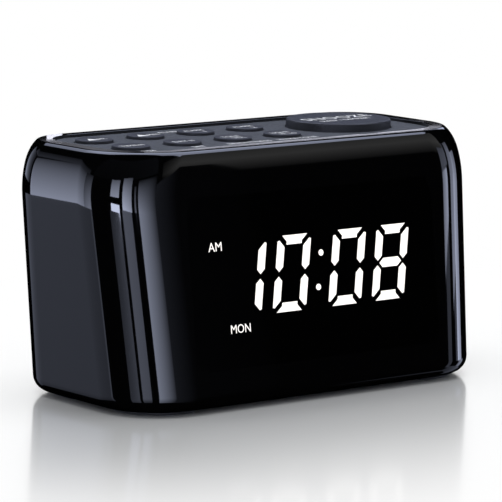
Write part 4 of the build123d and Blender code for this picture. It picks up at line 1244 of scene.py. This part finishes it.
# name, left and right heading and low and high angle in degrees, brightness, then its shares at the left,
# right, low and high edges, and the tint
CARDS = (
    ("back_left_wall", 149, 126, -6, 23, 3.5, (0.9, 1.0, 1.0, 0.08)),
    ("back_left_wall_edge", 126, 111, -6, 23, 3.5, (1.0, 0.3, 1.0, 0.08)),
    ("back_left_wall_top", 165, 120, 23, 28.5, 0.27, (1.0, 1.0, 1.0, 0.3)),
    ("far_left_wall", 178, 154, 0, 22, 1.3, (0.1, 1.0, 1.0, 0.3)),
    ("left_table", 172, 113.5, -30, -6, 0.53, (1.0, 0.9, 0.4, 1.0)),
    ("left_table_edge", 113.5, 110.8, -30, -6, 0.95, (1.0, 1.0, 0.6, 1.0)),
    ("side_strip_patch", 76, 62, 31, 37, 0.9),
    ("side_strip_high", 76, 62, 9.5, 26, 6.8, (0.85, 1.0, 1.0, 0.22)),
    ("side_strip_lamp", 75, 61.5, -1.5, 4.3, 15.0),
    ("side_strip_low", 77.5, 62, -32, -1.5, 2.0, (0.2, 1.0, 0.3, 1.0)),
    ("middle_strip_high", 56.5, 42, 1.5, 31, 10.0, (1.0, 0.42, 1.0, 0.03)),
    ("middle_strip_low", 57.5, 43, -32, 1.5, 2.1, (1.0, 0.65, 0.2, 1.0)),
    ("thin_strip", 37.5, 35, 2, 18, 2.2, (1.0, 1.0, 1.0, 0.2)),
    ("front_strip_high", 31.5, 2, 3, 22, 4.7, (1.0, 0.03, 1.0, 0.0)),
    ("front_strip_low", 31.5, 2, -32, 3, 4.7, (1.0, 0.03, 0.5, 1.0)),
    ("front_haze", 4, -36, -34, 14, 0.2, (1.0, 0.0, 0.8, 1.0)),
    ("high_haze", 112, 2, 24, 60, 0.05, (0.3, 1.0, 1.0, 1.0)),
    ("front_wall_low", -6, -34, 7.5, 17, 0.56, (0.05, 1.0, 0.1, 1.0), PLAIN_TINT),
    ("front_wall_low_right", -34, -64, 7.5, 17, 0.56, (1.0, 1.0, 0.1, 1.0), PLAIN_TINT),
    ("front_wall", -6, -34, 17, 36, 0.53, (0.25, 1.0, 1.0, 0.3), PLAIN_TINT),
    ("front_wall_right", -34, -64, 17, 36, 0.53, (1.0, 1.0, 1.0, 0.3), PLAIN_TINT),
    ("right_patch", -51, -66, 5, 15, 1.1, (1.0, 1.0, 1.0, 0.5)),
    ("right_lamp", -51, -62.5, 1.3, 4.8, 3.6, (0.7, 1.4, 1.0, 1.0)),
    ("right_strip_high", -70, -80, -2, 15, 2.4, (1.0, 1.0, 1.0, 0.3)),
    ("right_strip_thin", -53, -62, -30, 1.3, 0.5),
    ("right_strip_side", -73, -79, -8, -2, 0.5),
    ("right_strip", -79, -91, -8, 7, 6.5, (1.0, 0.35, 1.0, 0.4)),
    ("right_strip_low", -84, -98, -26, -8, 2.2, (1.0, 0.5, 0.4, 1.0)),
    ("right_table", -62, -108, -46, -26, 0.42, (0.8, 1.0, 0.6, 1.0)),
    ("back_right_patch", -116, -134, 15, 27, 3.2, (0.1, 1.0, 0.8, 1.0)),
)

# name, left and right end and low and high edge in millimetres, brightness, and its shares at the edges
RIM_STRIPS = (
    ("rim_strip_corner", 55, 62, 105.2, 107.2, 2.6, None),
    ("rim_strip_left", 50, 100, 107.6, 114.1, 0.2, (0.8, 1.4, 1.0, 1.0)),
    ("rim_strip_turn", 100, 130, 113.9, 115.85, 1.3, (0.3, 1.0, 1.0, 1.0)),
    ("rim_strip", 130, 240, 114.1, 115.8, 2.0, (0.65, 1.0, 1.0, 1.0)),
    ("rim_strip_end", 240, 252, 115.1, 115.8, 2.0, (1.0, 0.3, 1.0, 1.0)),
)


def reflector_cards():
    """What the gloss reflects: curved cards round the clock, a bent one over it and strips behind its rim."""
    return [card(*row) for row in CARDS] + overhead_cards() + rim_cards()


def gloss_sheet(name, corners, brightness, fade=None, rising="Z", tint=SKY_TINT):
    """Flat light-giving sheet that only glossy surfaces see."""
    thing = flat_sheet(name, corners, glow(name, brightness, tint, fade, rising))
    seen_in_gloss_only(thing)
    return thing


def overhead_cards():
    """Bent softbox over the clock, from ahead on the right to behind it."""
    front = ((-0.32, 0.70), (-0.32, 0.40), (0.06, -0.55), (1.08, -1.63), (1.36, -1.16), (0.76, 0.10),
             (0.62, 0.70))
    back = ((-0.29, 1.42), (-0.32, 0.70), (0.62, 0.70), (0.42, 1.42))
    return [gloss_sheet("overhead_front", at_height(front, OVERHEAD_HEIGHT), OVERHEAD_BRIGHTNESS),
            gloss_sheet("overhead_back", at_height(back, OVERHEAD_HEIGHT), OVERHEAD_BRIGHTNESS,
                        (1.0, 1.0, 1.0, 0.3), "Y")]


def rim_cards():
    """Low strips just behind the clock, which the flat rim reflects."""
    cards = []
    for name, left, right, low, high, brightness, fade in RIM_STRIPS:
        places = ((left, low), (right, low), (right, high), (left, high))
        corners = [Vector((x, RIM_STRIP_BEHIND, z)) * MM for x, z in places]
        cards.append(gloss_sheet(name, corners, brightness, fade, tint=PALE_TINT))
    return cards


def away_from_clock(tree):
    """Level distance from the box round the clock's footprint."""
    half = (cad_box[1] - cad_box[0]) / 2
    away = tree.nodes.new("ShaderNodeTexCoord").outputs["Object"]
    for operation, other in (("ABSOLUTE", None), ("SUBTRACT", (half.x, half.y, 0)), ("MAXIMUM", (0, 0, 0)),
                             ("LENGTH", None)):
        step = tree.nodes.new("ShaderNodeVectorMath")
        step.operation = operation
        tree.links.new(away, step.inputs[0])
        if other:
            step.inputs[1].default_value = other
        away = step.outputs["Value" if operation == "LENGTH" else "Vector"]
    return away


def make_floor(studio):
    """Pale lacquered floor, plain white away from the clock."""
    material = bpy.data.materials.new("white_floor")
    material.use_nodes = True
    material.cycles.emission_sampling = "NONE"
    tree = material.node_tree
    painted = tree.nodes["Principled BSDF"]
    painted.inputs["Base Color"].default_value = (*FLOOR_PAINT, 1)
    painted.inputs["Roughness"].default_value = studio.floor_rough
    painted.inputs["IOR"].default_value = FLOOR_IOR
    painted.inputs["Coat Weight"].default_value = 1.0
    painted.inputs["Coat Roughness"].default_value = studio.coat_rough
    plain = tree.nodes.new("ShaderNodeEmission")
    reach = tree.nodes.new("ShaderNodeMapRange")
    reach.interpolation_type = "SMOOTHSTEP"
    reach.inputs["From Max"].default_value = studio.floor_reach
    tree.links.new(away_from_clock(tree), reach.inputs["Value"])
    share_of_plain = combined(tree, "MULTIPLY", reach.outputs["Result"], seen_directly(tree))
    surface = tree.nodes["Material Output"].inputs["Surface"]
    tree.links.new(blended(tree, share_of_plain, painted, plain), surface)
    far = FLOOR_HALF
    floor = flat_sheet("floor", [(-far, -far, 0), (far, -far, 0), (far, far, 0), (-far, far, 0)], material)
    floor.visible_glossy = False
    return floor


def seen_directly(tree):
    """1 for rays from the camera and through gloss or glass, 0 for the light that falls on things."""
    path = tree.nodes.new("ShaderNodeLightPath")
    total = path.outputs["Is Camera Ray"]
    for kind in ("Is Glossy Ray", "Is Transmission Ray"):
        total = combined(tree, "MAXIMUM", total, path.outputs[kind])
    return total


def make_world(studio):
    """White where it is seen, and soft light from all round."""
    world = bpy.data.worlds.new("studio")
    bpy.context.scene.world = world
    world.use_nodes = True
    tree = world.node_tree
    soft = tree.nodes["Background"]
    soft.inputs["Color"].default_value = (*SKY_COLOUR, 1)
    soft.inputs["Strength"].default_value = studio.sky
    white = tree.nodes.new("ShaderNodeBackground")
    white.inputs["Color"].default_value = (1, 1, 1, 1)
    surface = tree.nodes["World Output"].inputs["Surface"]
    tree.links.new(blended(tree, seen_directly(tree), soft, white), surface)


def make_dome(floor):
    """Tent round the studio: white as the floor sees it, and dark as the clock sees it."""
    mesh = bpy.data.meshes.new("tent")
    bm = bmesh.new()
    bmesh.ops.create_uvsphere(bm, u_segments=48, v_segments=24, radius=TENT_RADIUS)
    bm.to_mesh(mesh)
    bm.free()
    mesh.materials.append(glow("tent", TENT_GLOW))
    dome = add_object("tent", mesh)
    seen_in_gloss_only(dome)
    dome.light_linking.receiver_collection = receivers("tent light", floor, "INCLUDE")


def make_softbox(studio):
    """Softbox straight over the clock, which isn't seen itself."""
    lamp = bpy.data.lights.new("overhead_softbox", "AREA")
    lamp.shape = "RECTANGLE"
    lamp.size = SOFTBOX_WIDTH
    lamp.size_y = SOFTBOX_DEPTH
    lamp.energy = studio.overhead * math.pi * SOFTBOX_WIDTH * SOFTBOX_DEPTH
    thing = add_object("overhead_softbox", lamp)
    thing.location = (0.0, 0.0, SOFTBOX_HEIGHT)
    thing.rotation_euler = UP.to_track_quat("Z", "Y").to_euler()
    thing.visible_camera = False
    thing.visible_glossy = False


def make_camera(studio):
    """Camera on its long lens, turned, raised and rolled about its aim."""
    turn, rise, roll = studio.azimuth, studio.elevation, studio.roll
    back = Vector((-math.sin(turn) * math.cos(rise), -math.cos(turn) * math.cos(rise), math.sin(rise)))
    level = Vector((math.cos(turn), -math.sin(turn), 0))
    upright = back.cross(level)
    right = level * math.cos(roll) + upright * math.sin(roll)
    up = upright * math.cos(roll) - level * math.sin(roll)
    lens = bpy.data.cameras.new("camera")
    lens.lens = studio.lens
    lens.sensor_width = SENSOR_WIDTH
    camera = add_object("camera", lens)
    place = Vector(studio.aim) + back * studio.distance
    camera.matrix_world = Matrix.Translation(place) @ Matrix((right, up, back)).transposed().to_4x4()
    bpy.context.scene.camera = camera


# ---- operators -----------------------------------------------------------------------------------
class CLOCK_OT_housing(bpy.types.Operator):
    """Build the moulded housing with its window, recess, deck, pockets and posts"""

    bl_idname = "clock.housing"
    bl_label = "Housing"

    def execute(self, context):
        piece = Housing(context.scene.clock_shape).build()
        settle(piece, "root", "housing_gloss", "main_housing")
        return {"FINISHED"}


class CLOCK_OT_top_panel(bpy.types.Operator):
    """Build the matte top panel with a hole for each button"""

    bl_idname = "clock.top_panel"
    bl_label = "Top Panel"

    def execute(self, context):
        piece = build_top_panel(context.scene.clock_shape)
        settle(piece, "root", "panel_matte", "top_panel")
        return {"FINISHED"}


class CLOCK_OT_keys(bpy.types.Operator):
    """Build the eight round keys"""

    bl_idname = "clock.keys"
    bl_label = "Keys"

    def execute(self, context):
        for node in BUTTONS:
            piece = build_key(node.replace("key", "key_cap"), node, context.scene.clock_shape)
            settle(piece, body_of_node(node), "key_matte", node)
        return {"FINISHED"}


class CLOCK_OT_snooze_button(bpy.types.Operator):
    """Build the large snooze button"""

    bl_idname = "clock.snooze_button"
    bl_label = "Snooze Button"

    def execute(self, context):
        piece = build_snooze_button(context.scene.clock_shape)
        settle(piece, body_of_node(SNOOZE), "key_matte", SNOOZE)
        return {"FINISHED"}


class CLOCK_OT_key_legends(bpy.types.Operator):
    """Print each key's word or sign on its cap"""

    bl_idname = "clock.key_legends"
    bl_label = "Key Legends"

    def execute(self, context):
        material = finish_for("legend_ink")
        for node, words in KEY_WORDS.items():
            x, y = middle_of(node)
            mark = flat_print(node.replace("key", "legend_key"), x, y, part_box(node)[1].z)
            mark.words(words)
            if node in KEY_ARROWS:
                middle = KEY_ARROWS[node]
                mark.prism([((middle + right) * MM, (KEY_LINE + back) * MM) for right, back in ARROW])
            for right in KEY_BARS.get(node, ()):
                mark.stroke([(right * MM, back * MM) for back in KEY_BAR_ENDS], STROKE)
            mark.finish(body_of_node(node), material)
        return {"FINISHED"}


class CLOCK_OT_panel_legends(bpy.types.Operator):
    """Print the small words between the keys on the top panel"""

    bl_idname = "clock.panel_legends"
    bl_label = "Panel Legends"

    def execute(self, context):
        words = flat_print("legend_panel", 0, 0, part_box("top_panel")[1].z)
        words.words(PANEL_WORDS)
        words.finish("root", finish_for("legend_ink"))
        return {"FINISHED"}


class CLOCK_OT_snooze_legend(bpy.types.Operator):
    """Print the words on the snooze button"""

    bl_idname = "clock.snooze_legend"
    bl_label = "Snooze Legend"

    def execute(self, context):
        x, y = middle_of(SNOOZE)
        words = flat_print("legend_snooze", x, y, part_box(SNOOZE)[1].z - SNOOZE_LEGEND_ROOM)
        words.words(SNOOZE_WORDS)
        words.finish(body_of_node(SNOOZE), finish_for("legend_ink"))
        return {"FINISHED"}


class CLOCK_OT_rear_legends(bpy.types.Operator):
    """Print the reset word and the direct current sign on the rear cover"""

    bl_idname = "clock.rear_legends"
    bl_label = "Rear Legends"

    def execute(self, context):
        plane = FacePlane(Form(context.scene.clock_shape), BACK)
        marks = Print("legend_rear", plane.at(0, 0), -ACROSS, plane.up)
        marks.words(REAR_WORDS)
        for points in REAR_STROKES:
            marks.stroke([(right * MM, rise * MM) for right, rise in points], STROKE)
        marks.finish("root", finish_for("legend_ink"))
        return {"FINISHED"}


class CLOCK_OT_indicators(bpy.types.Operator):
    """Light the small half-day and weekday words in the display window"""

    bl_idname = "clock.indicators"
    bl_label = "Indicators"

    def execute(self, context):
        plane = FacePlane(Form(context.scene.clock_shape), FRONT)
        words = Print("lit_words", plane.at(0, 0), ACROSS, plane.up)
        words.words(LIT_WORDS)
        words.finish("root", finish_for("segment_glow"), "segment_glow")
        return {"FINISHED"}


class CLOCK_OT_finishes(bpy.types.Operator):
    """Give every piece that comes with the frame its finish"""

    bl_idname = "clock.finishes"
    bl_label = "Finishes"

    def execute(self, context):
        for node in frame["nodes"].values():
            materials = node.data.materials
            for number, material in enumerate(materials):
                materials[number] = finish_for(material.name.split(".")[0])
        return {"FINISHED"}


class CLOCK_OT_studio(bpy.types.Operator):
    """Set up the floor, the soft light and the camera"""

    bl_idname = "clock.studio"
    bl_label = "Studio"

    def execute(self, context):
        studio = context.scene.clock_studio
        make_world(studio)
        floor = make_floor(studio)
        make_dome(floor)
        make_softbox(studio)
        for thing in reflector_cards():
            thing.light_linking.receiver_collection = receivers(thing.name, floor, "EXCLUDE")
        make_camera(studio)
        context.scene.view_settings.view_transform = "Standard"
        return {"FINISHED"}


OPERATORS = (CLOCK_OT_housing, CLOCK_OT_top_panel, CLOCK_OT_keys, CLOCK_OT_snooze_button,
             CLOCK_OT_key_legends, CLOCK_OT_panel_legends, CLOCK_OT_snooze_legend, CLOCK_OT_rear_legends,
             CLOCK_OT_indicators, CLOCK_OT_finishes, CLOCK_OT_studio)


class CLOCK_PT_pieces(bpy.types.Panel):
    """Sidebar panel that lists the clock's pieces"""

    bl_idname = "CLOCK_PT_pieces"
    bl_label = "Alarm Clock"
    bl_space_type = "VIEW_3D"
    bl_region_type = "UI"
    bl_category = "Clock"

    def draw(self, context):
        for operator in OPERATORS:
            self.layout.operator(operator.bl_idname)
        for group in (context.scene.clock_shape, context.scene.clock_finish, context.scene.clock_studio):
            box = self.layout.box()
            for name in group.__annotations__:
                box.prop(group, name)


GROUPS = {"clock_shape": ClockShape, "clock_finish": ClockFinish, "clock_studio": ClockStudio}


def register():
    for kind in (*GROUPS.values(), *OPERATORS, CLOCK_PT_pieces):
        bpy.utils.register_class(kind)
    for name, kind in GROUPS.items():
        setattr(bpy.types.Scene, name, PointerProperty(type=kind))


def unregister():
    for name in GROUPS:
        delattr(bpy.types.Scene, name)
    for kind in (CLOCK_PT_pieces, *reversed(OPERATORS), *GROUPS.values()):
        bpy.utils.unregister_class(kind)


def main():
    register()
    for operator in OPERATORS:
        getattr(bpy.ops.clock, operator.bl_idname.split(".")[1])()


if __name__ == "__main__":
    main()
